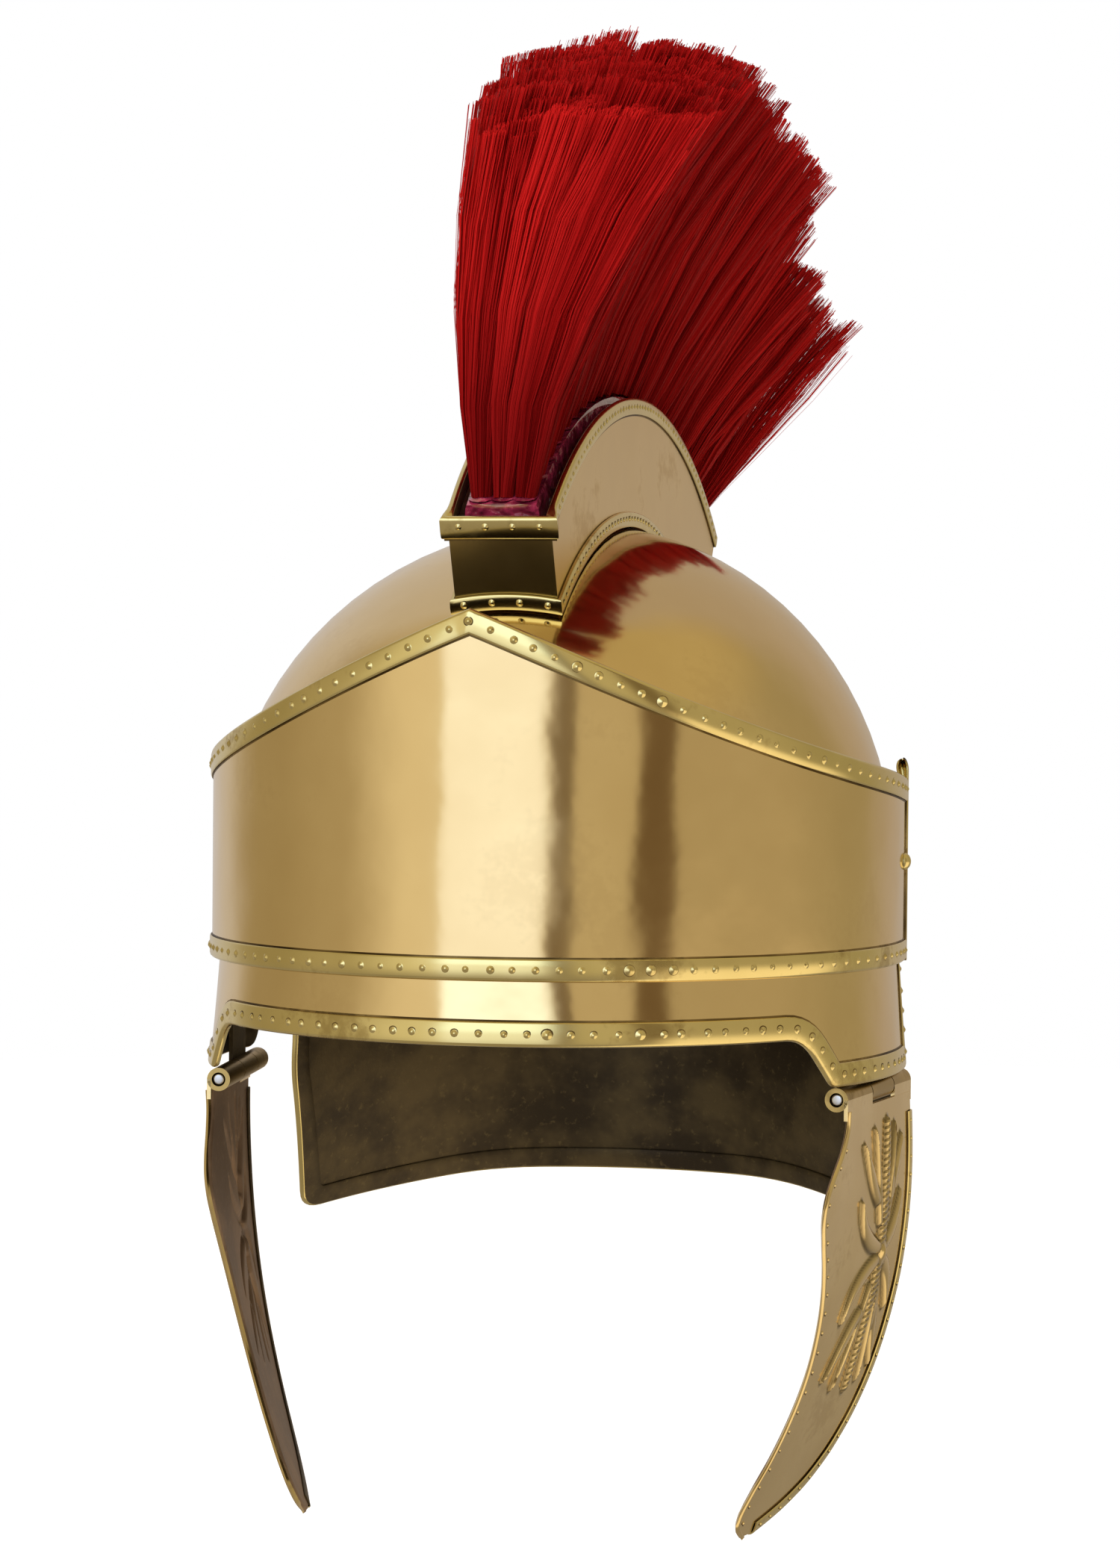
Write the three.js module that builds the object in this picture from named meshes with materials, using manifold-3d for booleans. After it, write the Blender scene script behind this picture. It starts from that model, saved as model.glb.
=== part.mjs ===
import * as THREE from 'three';
import Module from 'manifold-3d';

// Attic helmet in sheet brass, millimetres, +Z up, front towards -Y, wearer's left towards +X.
// The origin is the middle of the head opening, level with the dots along the brow plate's foot.

// Sheet, folded strip and clearance
const SHEET = 1.2;
const STRIP = 0.4;
const GAP = 0.3;

// Skull: plan of two half ellipses, upright wall below a dome whose crown sits behind the ears
const SKULL_HALF_WIDTH = 101.3;
const SKULL_FRONT = 107.4;
const SKULL_BACK = 128;
const WALL_TOP = 26;
const DOME_RISE = 103.4;
const CROWN_BACK = 22;
const BROW_RIM = -20.8;
const WALL_LEAN = 2.7;
const LEAN_POWER = 1.5;
const TAB_FOOT = -35.3;
const EAR_TOP = -3;
const NECK_FLARE = 6;
const NECK_CORNER = -95;
const NECK_MIDDLE = -85.5;
const DOME_ROWS = 6;
const WALL_ROWS = 3;
const SKULL_STRIP_WIDTH = 6.3;

// Brow plate: an upright band outside the wall
const BROW_OUT = 3.7;
const BROW_FOOT = -2.6;
const BROW_END_ANGLE = 99;
const BROW_COLUMNS = 28;
const BROW_LEAST_COLUMN = 1;
const BROW_STRIP_WIDTH = 5.7;
const BROW_TOP_SLOPE = 1.12;
const BROW_END_RISE = 5;
const BROW_END_LOBE = [
  { depth: 3.5, share: 1 },
  { depth: 1, share: 0.75 },
  { depth: 0, share: 0.4 },
];
const BROW_TOP = [
  { angle: 0, height: 99.3 },
  { angle: 10, height: 91.9 },
  { angle: 20, height: 84.2 },
  { angle: 30, height: 77.1 },
  { angle: 40, height: 70.6 },
  { angle: 50, height: 65.1 },
  { angle: 60, height: 61.1 },
  { angle: 70, height: 57.8 },
  { angle: 80, height: 54.8 },
  { angle: 90, height: 52.6 },
  { angle: 99, height: 51 },
];
const RIVET_ANGLE = 94.2;
const RIVET_HEIGHT = 25;
const RIVET_RADIUS = 2.6;
const RIVET_RISE = 1.9;
const RIVET_SIDES = 10;
const RIVET_RINGS = 3;

// Crest box: two flaring side plates on the dome, closed at both ends, open at the top
const CREST_SHEET = 1;
const CREST_CENTRE_Y = 32.2;
const CREST_CENTRE_Z = -2.1;
const CREST_RADIUS = 170.3;
const CREST_FRONT_ANGLE = -41.1;
const CREST_REAR_ANGLE = 38.6;
const CREST_FOOT_FRONT = -63;
const CREST_FOOT_REAR = 106;
const CREST_HALF_FRONT = 15.2;
const CREST_HALF_REAR = 21;
const CREST_STATIONS = 14;
const CREST_STRIP_WIDTH = 4.6;
const CREST_FOOT_STRIP = 1;
const DOME_CLEARANCE = 0.8;

// Plume: a painted block in the box, a backing on it and locks of hair fused to the backing
const BASE_SIDE_ROOM = 2.6;
const BASE_PROUD = 1.6;
const BASE_LIFT = 2.2;
const BACKING = 2;
const BACKING_INSET = 1;
const BACKING_CUT = 20;
const LOCK_ROWS = 9;
const LOCK_LENGTH = 110;
const LOCK_SIDE_ROOT = 0.62;
const LOCK_FRONT_LEAN = -0.5;
const LOCK_REAR_LEAN = 49;
// Spread to both sides, and the sweep of all the hair to the wearer's left, by place along the crest
const LOCK_FAN = [
  { share: 0, spread: 4, sweep: 16.5 },
  { share: 0.15, spread: 10, sweep: 9.5 },
  { share: 1, spread: 10, sweep: 5.5 },
];
const LOCK_RAGGED = { length: 4, perRow: 2.3, perSide: 1.7 };
// Share of the room between neighbours that a lock fills, across and along the crest
const LOCK_SECTIONS = [
  { share: -0.01, across: 0.75, along: 0.22 },
  { share: 0.45, across: 0.84, along: 0.6 },
  { share: 1, across: 0.88, along: 0.86 },
];

// Cheek hinge: a level pin below the tab, along the chord of the wall
const HINGE_X = 98.2;
const HINGE_Y = -13;
const HINGE_Z = -40;
const HINGE_TURN = 7.8;
const KNUCKLE_RADIUS = 3.5;
const KNUCKLE_BORE = 2.1;
const KNUCKLE_SIDES = 12;
const PIN_RADIUS = 1.7;
const HINGE_END = 33.5;
const FRONT_KNUCKLE_END = -8;
const REAR_KNUCKLE_START = 15.5;
const LEAF_RISE = 23;
const LEAF_OUT = 1.7;

// Cheek piece: a crescent plate below the hinge, bowed inwards and turned in towards the tip
const CHEEK_BOW = 23;
const CHEEK_BOW_DROP = 122;
const CHEEK_BOW_POWER = 2.15;
const CHEEK_TWIST = 0.12;
const CHEEK_TWIST_DROP = 112;
const CHEEK_TWIST_POWER = 0.9;
const CHEEK_COLUMNS = 4;
const STRAP_DROP = 7;
const STRAP_SINK = 0.05;
const CHEEK_STRIP_WIDTH = 3.6;
const CHEEK_OUTLINE = [
  { drop: 4.4, front: -33.2, rear: 31.6 },
  { drop: 9, front: -33.4, rear: 32 },
  { drop: 15.5, front: -37, rear: 32.5 },
  { drop: 22, front: -43, rear: 33 },
  { drop: 27, front: -46.4, rear: 33.3 },
  { drop: 33, front: -47, rear: 33.5 },
  { drop: 40, front: -44, rear: 33.4 },
  { drop: 48, front: -39.6, rear: 33 },
  { drop: 58, front: -35.2, rear: 32 },
  { drop: 69, front: -32.6, rear: 29.8 },
  { drop: 81, front: -32.2, rear: 26.6 },
  { drop: 93, front: -34.6, rear: 21.8 },
  { drop: 105, front: -39, rear: 14.4 },
  { drop: 114, front: -43.4, rear: 6 },
  { drop: 121, front: -44.6, rear: -4.5 },
  { drop: 126, front: -41.4, rear: -17 },
  { drop: 129, front: -36, rear: -28 },
];

// Thunderbolt: a knob on a bent axis, and rays that are repeated above, below and to both sides
const BOLT_KNOB_DROP = 50;
const BOLT_RISE = 0.9;
const BOLT_SINK = 0.5;
const BOLT_CREST_SHARE = 0.55;
const BOLT_KNOB_SIDES = 8;
const BOLT_KNOB_RINGS = [
  { radius: 0, rise: -0.5 },
  { radius: 3, rise: -0.5 },
  { radius: 2.1, rise: 1.45 },
  { radius: 0, rise: 1.8 },
];
const BOLT_AXIS = [
  { drop: 8, along: 6.8 },
  { drop: 50, along: 10.2 },
  { drop: 90, along: 3.6 },
];
const BOLT_REAR_SIDE = 0.68;
const BOLT_FRONT_SIDE = -1.1;
const BOTH_SIDES = [BOLT_REAR_SIDE, BOLT_FRONT_SIDE];
const BOLT_RAYS = [
  { across: [0, 0, 0], up: [3, 20, 40], half: [2.4, 2.2, 1.8], cuts: 2, sides: [1] },
  { across: [3.5, 7, 11], up: [10, 24, 39], half: [1.3, 1.4, 0.7], cuts: 2, sides: BOTH_SIDES },
  { across: [7, 13, 20], up: [17, 25, 35], half: [1.5, 2.1, 0.6], cuts: 2, sides: BOTH_SIDES },
  { across: [3, 14, 19.5], up: [2, 8, 18], half: [2, 2.4, 0.6], cuts: 3, sides: BOTH_SIDES },
];

const BRASS = { color: 0xb08d45, roughness: 0.26, metalness: 1 };
const STEEL = { color: 0xb9bbc0, roughness: 0.35, metalness: 1 };
const RED_PAINT = { color: 0x8c1426, roughness: 0.3, metalness: 0 };
const RED_HAIR = { color: 0xa8121a, roughness: 0.6, metalness: 0 };

const wasm = await Module();
wasm.setup();

const rad = THREE.MathUtils.degToRad;
const mix = THREE.MathUtils.lerp;

// Value of one column of a table at a given value of another
function lookUp(table, key, value, column) {
  const last = table.length - 1;
  const found = table.findIndex((row) => row[key] >= value);
  const upper = Math.max(1, found < 0 ? last : found);
  const low = table[upper - 1];
  const high = table[upper];
  return mix(low[column], high[column], (value - low[key]) / (high[key] - low[key]));
}

// Closed body from flat four-cornered faces; coincident corners are shared and slivers left out
function bodyFromFaces(faces) {
  const places = [];
  const numbers = new Map();
  const index = [];
  const number = (p) => {
    const key = p.toArray().map((v) => Math.round(v * 1e4)).join();
    if (!numbers.has(key)) {
      numbers.set(key, places.length / 3);
      places.push(p.x, p.y, p.z);
    }
    return numbers.get(key);
  };
  for (const face of faces) {
    const n = face.map(number);
    for (const [a, b, c] of [[n[0], n[1], n[2]], [n[0], n[2], n[3]]]) {
      if (a !== b && b !== c && c !== a) {
        index.push(a, b, c);
      }
    }
  }
  const geometry = new THREE.BufferGeometry();
  geometry.setAttribute('position', new THREE.Float32BufferAttribute(places, 3));
  geometry.setIndex(index);
  return facingOut(geometry);
}

// Turns every face round where the body is inside out
function facingOut(geometry) {
  const p = geometry.attributes.position;
  const index = geometry.index.array;
  const corner = (k) => new THREE.Vector3().fromBufferAttribute(p, index[k]);
  let volume = 0;
  for (let k = 0; k < index.length; k += 3) {
    volume += corner(k).dot(corner(k + 1).cross(corner(k + 2)));
  }
  if (volume < 0) {
    for (let k = 0; k < index.length; k += 3) {
      [index[k], index[k + 1]] = [index[k + 1], index[k]];
    }
  }
  return geometry;
}

function mirrored(geometry) {
  return facingOut(geometry.clone().applyMatrix4(new THREE.Matrix4().makeScale(-1, 1, 1)));
}

// Sheet between an outer and an inner grid of points, columns first, each column from foot to top
function sheetBody(outer, inner, closed) {
  const faces = [];
  const columns = outer.length;
  const top = outer[0].length - 1;
  const runs = closed ? columns : columns - 1;
  for (let i = 0; i < runs; i += 1) {
    const k = (i + 1) % columns;
    for (let j = 0; j < top; j += 1) {
      faces.push([outer[i][j], outer[k][j], outer[k][j + 1], outer[i][j + 1]]);
      faces.push([inner[k][j], inner[i][j], inner[i][j + 1], inner[k][j + 1]]);
    }
    faces.push([inner[i][0], inner[k][0], outer[k][0], outer[i][0]]);
    faces.push([outer[i][top], outer[k][top], inner[k][top], inner[i][top]]);
  }
  if (!closed) {
    const end = columns - 1;
    for (let j = 0; j < top; j += 1) {
      faces.push([inner[0][j], outer[0][j], outer[0][j + 1], inner[0][j + 1]]);
      faces.push([outer[end][j], inner[end][j], inner[end][j + 1], outer[end][j + 1]]);
    }
  }
  return bodyFromFaces(faces);
}

// Bar whose section has one corner on each line; open bars get end faces between the named corners
const FOLD_ENDS = [[0, 1, 2, 7], [7, 2, 3, 6], [6, 3, 4, 5]];
const BAR_ENDS = [[0, 1, 2, 3]];
function barBody(lines, ends) {
  const faces = [];
  const stations = lines[0].length;
  const runs = ends ? stations - 1 : stations;
  lines.forEach((line, c) => {
    const next = lines[(c + 1) % lines.length];
    for (let i = 0; i < runs; i += 1) {
      const k = (i + 1) % stations;
      faces.push([line[i], line[k], next[k], next[i]]);
    }
  });
  for (const end of ends ?? []) {
    faces.push(end.map((c) => lines[c][0]));
    faces.push(end.map((c) => lines[c][stations - 1]).reverse());
  }
  return bodyFromFaces(faces);
}

// Folded strip over a sheet edge: lineAt gives the line at a distance in from the edge and out of the face
function foldedStrip(lineAt, width, sheet, ends) {
  const face = GAP;
  const skin = GAP + STRIP;
  return barBody([
    lineAt(width, face),
    lineAt(width, skin),
    lineAt(-skin, skin),
    lineAt(-skin, -sheet - skin),
    lineAt(width, -sheet - skin),
    lineAt(width, -sheet - face),
    lineAt(-face, -sheet - face),
    lineAt(-face, face),
  ], ends);
}

function toSolid(geometry) {
  return new wasm.Manifold(new wasm.Mesh({
    numProp: 3,
    vertProperties: new Float32Array(geometry.attributes.position.array),
    triVerts: new Uint32Array(geometry.index.array),
  }));
}

function toGeometry(solid) {
  const mesh = solid.getMesh();
  const geometry = new THREE.BufferGeometry();
  geometry.setAttribute('position', new THREE.BufferAttribute(new Float32Array(mesh.vertProperties), 3));
  geometry.setIndex(new THREE.BufferAttribute(new Uint32Array(mesh.triVerts), 1));
  return geometry;
}

function joined(geometries) {
  return geometries.map(toSolid).reduce((sum, next) => sum.add(next));
}

// Plan curve of the skull; angle 0 is the front, 90 the wearer's left, 180 the back
function planPoint(angle, out) {
  const reach = Math.cos(rad(angle)) > 0 ? SKULL_FRONT : SKULL_BACK;
  const p = new THREE.Vector2(SKULL_HALF_WIDTH * Math.sin(rad(angle)), -reach * Math.cos(rad(angle)));
  const normal = new THREE.Vector2(p.x / SKULL_HALF_WIDTH ** 2, p.y / reach ** 2).normalize();
  return p.addScaledVector(normal, out);
}

// Lengths along the plan curve from the front, degree by degree
const PLAN_ARC = [{ angle: 0, arc: 0 }];
for (let angle = 1; angle <= 180; angle += 1) {
  const step = planPoint(angle, 0).distanceTo(planPoint(angle - 1, 0));
  PLAN_ARC.push({ angle, arc: PLAN_ARC[angle - 1].arc + step });
}
const HALF_ROUND = PLAN_ARC[180].arc;

function angleAtArc(arc) {
  return Math.sign(arc) * lookUp(PLAN_ARC, 'arc', Math.abs(arc), 'angle');
}

function arcAtAngle(angle) {
  return Math.sign(angle) * lookUp(PLAN_ARC, 'angle', Math.abs(angle), 'arc');
}

// Outward lean of the wall, with the extra flare of the neck guard below the tabs
function wallLean(height) {
  const below = Math.max(0, WALL_TOP - height);
  const lean = WALL_LEAN * (below / (WALL_TOP - BROW_RIM)) ** LEAN_POWER;
  const flare = Math.max(0, TAB_FOOT - height) / (TAB_FOOT - NECK_CORNER);
  return lean + NECK_FLARE * flare ** 2;
}

function wallPoint(arc, height, out) {
  const p = planPoint(angleAtArc(arc), wallLean(height) + out);
  return new THREE.Vector3(p.x, p.y, height);
}

function domePoint(arc, share, out) {
  const p = planPoint(angleAtArc(arc), out);
  const reach = Math.cos(share * Math.PI / 2);
  const rise = (DOME_RISE + out) * Math.sin(share * Math.PI / 2);
  return new THREE.Vector3(p.x * reach, mix(CROWN_BACK, p.y, reach), WALL_TOP + rise);
}

// Height of the outer dome above a point of the plan, from how many times further out the plan curve lies
function domeHeight(x, y) {
  const back = y - CROWN_BACK;
  const timesOut = (reach) => {
    const a = (x / SKULL_HALF_WIDTH) ** 2 + (back / reach) ** 2;
    const b = CROWN_BACK * back / reach ** 2;
    const c = (CROWN_BACK / reach) ** 2 - 1;
    return (Math.sqrt(b ** 2 - a * c) - b) / a;
  };
  const front = timesOut(SKULL_FRONT);
  const times = CROWN_BACK + back * front < 0 ? front : timesOut(SKULL_BACK);
  return WALL_TOP + DOME_RISE * Math.sqrt(Math.max(0, 1 - 1 / times ** 2));
}

// Lower edge of the skull on the unrolled wall: corners with a rounding, and the cuts of the run before each
const EDGE_CORNERS = [
  { arc: 0, height: BROW_RIM, round: 0, cuts: 0 },
  { arc: 101, height: BROW_RIM, round: 15, cuts: 5 },
  { arc: 113, height: TAB_FOOT, round: 4, cuts: 1 },
  { arc: 181, height: TAB_FOOT, round: 5, cuts: 4 },
  { arc: 192.5, height: EAR_TOP, round: 6, cuts: 1 },
  { arc: 205.5, height: EAR_TOP, round: 6, cuts: 1 },
  { arc: 211, height: -46, round: 40, cuts: 1 },
  { arc: 235, height: NECK_CORNER, round: 9, cuts: 3 },
  { arc: 300, height: NECK_MIDDLE, round: 200, cuts: 3 },
  { arc: HALF_ROUND, height: NECK_MIDDLE, round: 0, cuts: 2 },
];
const ROUND_CUTS = 2;
const LEAST_ROUND = 0.3;

// The edge line moved in by a distance; every move keeps the same number of points
function skullEdge(inwards) {
  const corners = EDGE_CORNERS.map((c) => new THREE.Vector2(c.arc, c.height));
  const ways = corners.slice(1).map((c, i) => c.clone().sub(corners[i]).normalize());
  const left = (way) => new THREE.Vector2(-way.y, way.x);
  const moved = corners.map((c, i) => {
    const before = left(ways[Math.max(0, i - 1)]);
    const after = left(ways[Math.min(ways.length - 1, i)]);
    const middle = before.clone().add(after).normalize();
    return c.clone().addScaledVector(middle, inwards / middle.dot(before));
  });
  const points = [moved[0]];
  let from = moved[0];
  for (let i = 1; i < moved.length; i += 1) {
    const way = ways[i - 1];
    const onward = ways[Math.min(ways.length - 1, i)];
    const turn = way.angleTo(onward);
    const isLeft = way.cross(onward) > 0;
    const round = Math.max(LEAST_ROUND, EDGE_CORNERS[i].round + (isLeft ? -inwards : inwards));
    const trim = i === moved.length - 1 ? 0 : round * Math.tan(turn / 2);
    const start = moved[i].clone().addScaledVector(way, -trim);
    for (let cut = 1; cut <= EDGE_CORNERS[i].cuts; cut += 1) {
      points.push(from.clone().lerp(start, cut / EDGE_CORNERS[i].cuts));
    }
    from = moved[i].clone().addScaledVector(onward, trim);
    for (let cut = 1; trim > 0 && cut <= ROUND_CUTS; cut += 1) {
      const t = cut / ROUND_CUTS;
      const toward = start.clone().lerp(moved[i], t);
      points.push(toward.lerp(moved[i].clone().lerp(from, t), t));
    }
  }
  const other = points.slice(1, -1).reverse().map((p) => new THREE.Vector2(-p.x, p.y));
  return points.concat(other);
}

// The sheet has a row of corners where the strip on its edge ends, so that both bend alike
function skull() {
  const rim = skullEdge(0);
  const seam = skullEdge(SKULL_STRIP_WIDTH);
  const grid = (out) => rim.map((edge, i) => {
    const start = seam[i];
    const column = [wallPoint(edge.x, edge.y, out)];
    for (let row = 0; row < WALL_ROWS; row += 1) {
      column.push(wallPoint(start.x, mix(start.y, WALL_TOP, row / WALL_ROWS), out));
    }
    for (let row = 0; row <= DOME_ROWS; row += 1) {
      column.push(domePoint(start.x, row / DOME_ROWS, out));
    }
    return column;
  });
  return sheetBody(grid(0), grid(-SHEET), true);
}

function skullBinding() {
  const lineAt = (inwards, out) => skullEdge(inwards).map((p) => wallPoint(p.x, p.y, out));
  return foldedStrip(lineAt, SKULL_STRIP_WIDTH, SHEET, null);
}

function browPoint(arc, height, out) {
  const p = planPoint(angleAtArc(arc), BROW_OUT + out);
  return new THREE.Vector3(p.x, p.y, height);
}

function browTop(arc) {
  return lookUp(BROW_TOP, 'angle', Math.abs(angleAtArc(arc)), 'height');
}

const BROW_END = arcAtAngle(BROW_END_ANGLE);

// Columns of the brow plate; the strips on it keep to the same columns up to their own ends
function browArcs(end) {
  const arcs = Array.from({ length: BROW_COLUMNS + 1 }, (_, i) => mix(-BROW_END, BROW_END, i / BROW_COLUMNS));
  return [-end, ...arcs.filter((arc) => Math.abs(arc) < end - BROW_LEAST_COLUMN), end];
}

function browPlate() {
  const grid = (out) => browArcs(BROW_END).map((arc) => [
    browPoint(arc, BROW_FOOT, out),
    browPoint(arc, mix(BROW_FOOT, browTop(arc), 0.5), out),
    browPoint(arc, browTop(arc), out),
  ]);
  return sheetBody(grid(0), grid(-SHEET), false);
}

// The long strips stop short of the upright strips on the ends
const LONG_STRIP_END = BROW_END - BROW_STRIP_WIDTH - GAP;

function browTopBinding() {
  const lineAt = (inwards, out) => browArcs(LONG_STRIP_END)
    .map((arc) => browPoint(arc, browTop(arc) - inwards * BROW_TOP_SLOPE, out));
  return foldedStrip(lineAt, BROW_STRIP_WIDTH, SHEET, FOLD_ENDS);
}

function browFootBinding() {
  const lineAt = (inwards, out) => browArcs(LONG_STRIP_END)
    .map((arc) => browPoint(arc, BROW_FOOT + inwards, out));
  return foldedStrip(lineAt, BROW_STRIP_WIDTH, SHEET, FOLD_ENDS);
}

function browEndBinding() {
  const foot = BROW_FOOT - GAP - STRIP;
  const top = browTop(BROW_END) + BROW_END_RISE;
  const rows = [
    { height: foot, share: 1 },
    { height: mix(foot, top, 0.5), share: 1 },
    ...BROW_END_LOBE.map((row) => ({ height: top - row.depth, share: row.share })),
  ];
  const lineAt = (inwards, out) => rows
    .map((row) => browPoint(BROW_END - inwards * (inwards > 0 ? row.share : 1), row.height, out));
  return foldedStrip(lineAt, BROW_STRIP_WIDTH, SHEET, FOLD_ENDS);
}

function browRivet() {
  const profile = [new THREE.Vector2(0, 0)];
  for (let ring = 0; ring <= RIVET_RINGS; ring += 1) {
    const turn = ring / RIVET_RINGS * Math.PI / 2;
    const radius = ring === RIVET_RINGS ? 0 : RIVET_RADIUS * Math.cos(turn);
    profile.push(new THREE.Vector2(radius, RIVET_RISE * Math.sin(turn)));
  }
  const ribs = Array.from({ length: RIVET_SIDES }, (_, i) => profile.map((p) => {
    const around = i * 2 * Math.PI / RIVET_SIDES;
    return new THREE.Vector3(p.x * Math.cos(around), p.x * Math.sin(around), p.y);
  }));
  const faces = ribs.flatMap((rib, i) => {
    const next = ribs[(i + 1) % RIVET_SIDES];
    return profile.slice(1).map((_, j) => [rib[j], next[j], next[j + 1], rib[j + 1]]);
  });
  const geometry = bodyFromFaces(faces);
  const seat = planPoint(RIVET_ANGLE, BROW_OUT + GAP);
  const away = planPoint(RIVET_ANGLE, BROW_OUT + GAP + 1).sub(seat);
  const turn = new THREE.Quaternion().setFromUnitVectors(
    new THREE.Vector3(0, 0, 1),
    new THREE.Vector3(away.x, away.y, 0).normalize(),
  );
  geometry.applyQuaternion(turn);
  return geometry.translate(seat.x, seat.y, RIVET_HEIGHT);
}

// Crest side plates: share 0 is the front end and 1 the rear end
function crestTop(share) {
  const angle = rad(mix(CREST_FRONT_ANGLE, CREST_REAR_ANGLE, share));
  return new THREE.Vector2(
    CREST_CENTRE_Y + CREST_RADIUS * Math.sin(angle),
    CREST_CENTRE_Z + CREST_RADIUS * Math.cos(angle),
  );
}

function crestHalf(share) {
  return mix(CREST_HALF_FRONT, CREST_HALF_REAR, share);
}

function crestFoot(share, x) {
  const y = mix(CREST_FOOT_FRONT, CREST_FOOT_REAR, share);
  return new THREE.Vector2(y, domeHeight(x, y) + DOME_CLEARANCE);
}

// Point of the crest a distance above the foot, or below the top edge, moved lengthwise by a slide
function crestPoint(x, share, slide, fromFoot, fromTop) {
  const top = crestTop(share);
  const foot = crestFoot(share, x);
  const up = top.clone().sub(foot).normalize();
  const p = fromTop === null ? foot.addScaledVector(up, fromFoot) : top.addScaledVector(up, -fromTop);
  p.addScaledVector(new THREE.Vector2(up.y, -up.x), slide);
  return new THREE.Vector3(x, p.x, p.y);
}

// Ring round the four walls of the box, moved out by a distance
const END_STEPS = [-1, -0.5, 0, 0.5, 1];
function crestRing(out, fromFoot, fromTop) {
  const ring = END_STEPS.slice(0, -1).map((step) => (
    crestPoint(step * (crestHalf(0) + out), 0, -out, fromFoot, fromTop)));
  for (let i = 0; i < CREST_STATIONS; i += 1) {
    const share = i / CREST_STATIONS;
    const slide = i === 0 ? -out : 0;
    ring.push(crestPoint(crestHalf(share) + out, share, slide, fromFoot, fromTop));
  }
  for (const step of END_STEPS.slice(1).reverse()) {
    ring.push(crestPoint(step * (crestHalf(1) + out), 1, out, fromFoot, fromTop));
  }
  for (let i = CREST_STATIONS; i > 0; i -= 1) {
    const share = i / CREST_STATIONS;
    const slide = i === CREST_STATIONS ? out : 0;
    ring.push(crestPoint(-crestHalf(share) - out, share, slide, fromFoot, fromTop));
  }
  return ring;
}

function crestBox() {
  return barBody([
    crestRing(0, 0, null),
    crestRing(0, null, 0),
    crestRing(-CREST_SHEET, null, 0),
    crestRing(-CREST_SHEET, 0, null),
  ], null);
}

function crestTopBinding() {
  return foldedStrip((inwards, out) => crestRing(out, null, inwards), CREST_STRIP_WIDTH, CREST_SHEET, null);
}

function crestFootBinding() {
  return barBody([
    crestRing(GAP, 0, null),
    crestRing(GAP + CREST_FOOT_STRIP, 0, null),
    crestRing(GAP + CREST_FOOT_STRIP, CREST_STRIP_WIDTH, null),
    crestRing(GAP, CREST_STRIP_WIDTH, null),
  ], null);
}

function baseHalf(share) {
  return crestHalf(share) - CREST_SHEET - STRIP - GAP - BASE_SIDE_ROOM;
}

const BASE_INSET = 0.02;
function baseShares(count) {
  return Array.from({ length: count + 1 }, (_, i) => mix(BASE_INSET, 1 - BASE_INSET, i / count));
}

function plumeBase() {
  const shares = baseShares(CREST_STATIONS);
  const edge = (side, fromFoot, fromTop) => shares
    .map((s) => crestPoint(side * baseHalf(s), s, 0, fromFoot, fromTop));
  return barBody([
    edge(-1, BASE_LIFT, null),
    edge(1, BASE_LIFT, null),
    edge(1, null, -BASE_PROUD),
    edge(-1, null, -BASE_PROUD),
  ], BAR_ENDS);
}

// One lock: a four-sided bar that leans back by its place along the crest and widens towards its cut end
const LOCK_END = 1 - 2 * BASE_INSET;
const LOCK_STEP = (LOCK_END - 2 * BASE_INSET) / (LOCK_ROWS - 1);
const LOCK_ROW_ROOM = CREST_RADIUS * rad(CREST_REAR_ANGLE - CREST_FRONT_ANGLE) * LOCK_STEP / 2;
const LOCK_ROW_FAN = rad(LOCK_REAR_LEAN - LOCK_FRONT_LEAN) * LOCK_STEP / 2;
function lock(row, side) {
  const share = LOCK_END + (row - LOCK_ROWS + 1) * LOCK_STEP;
  const sideRoot = baseHalf(share) * LOCK_SIDE_ROOT;
  const root = crestPoint(side * sideRoot, share, 0, null, -BASE_PROUD - 2 * GAP - BACKING / 2);
  const lean = rad(mix(LOCK_FRONT_LEAN, LOCK_REAR_LEAN, share));
  const sideSpread = rad(lookUp(LOCK_FAN, 'share', share, 'spread'));
  const sweep = Math.sin(rad(lookUp(LOCK_FAN, 'share', share, 'sweep')));
  const spread = side * sideSpread;
  const way = new THREE.Vector3(
    Math.sin(spread),
    Math.cos(spread) * Math.sin(lean),
    Math.cos(spread) * Math.cos(lean),
  );
  const across = new THREE.Vector3(Math.cos(spread), -Math.sin(spread) * Math.sin(lean), 0).normalize();
  const along = way.clone().cross(across);
  const ragged = Math.sin(row * LOCK_RAGGED.perRow + side * LOCK_RAGGED.perSide);
  const length = LOCK_LENGTH + LOCK_RAGGED.length * ragged;
  const corner = (u, v) => LOCK_SECTIONS.map((section) => {
    const reach = length * section.share;
    const acrossRoom = (sideRoot + reach * Math.sin(sideSpread)) / 2;
    const alongRoom = LOCK_ROW_ROOM + reach * LOCK_ROW_FAN;
    return root.clone()
      .addScaledVector(way, reach)
      .addScaledVector(new THREE.Vector3(1, 0, 0), reach * section.share * sweep)
      .addScaledVector(across, u * section.across * acrossRoom)
      .addScaledVector(along, v * section.along * alongRoom);
  });
  return barBody([corner(-1, -1), corner(1, -1), corner(1, 1), corner(-1, 1)], BAR_ENDS);
}

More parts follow.
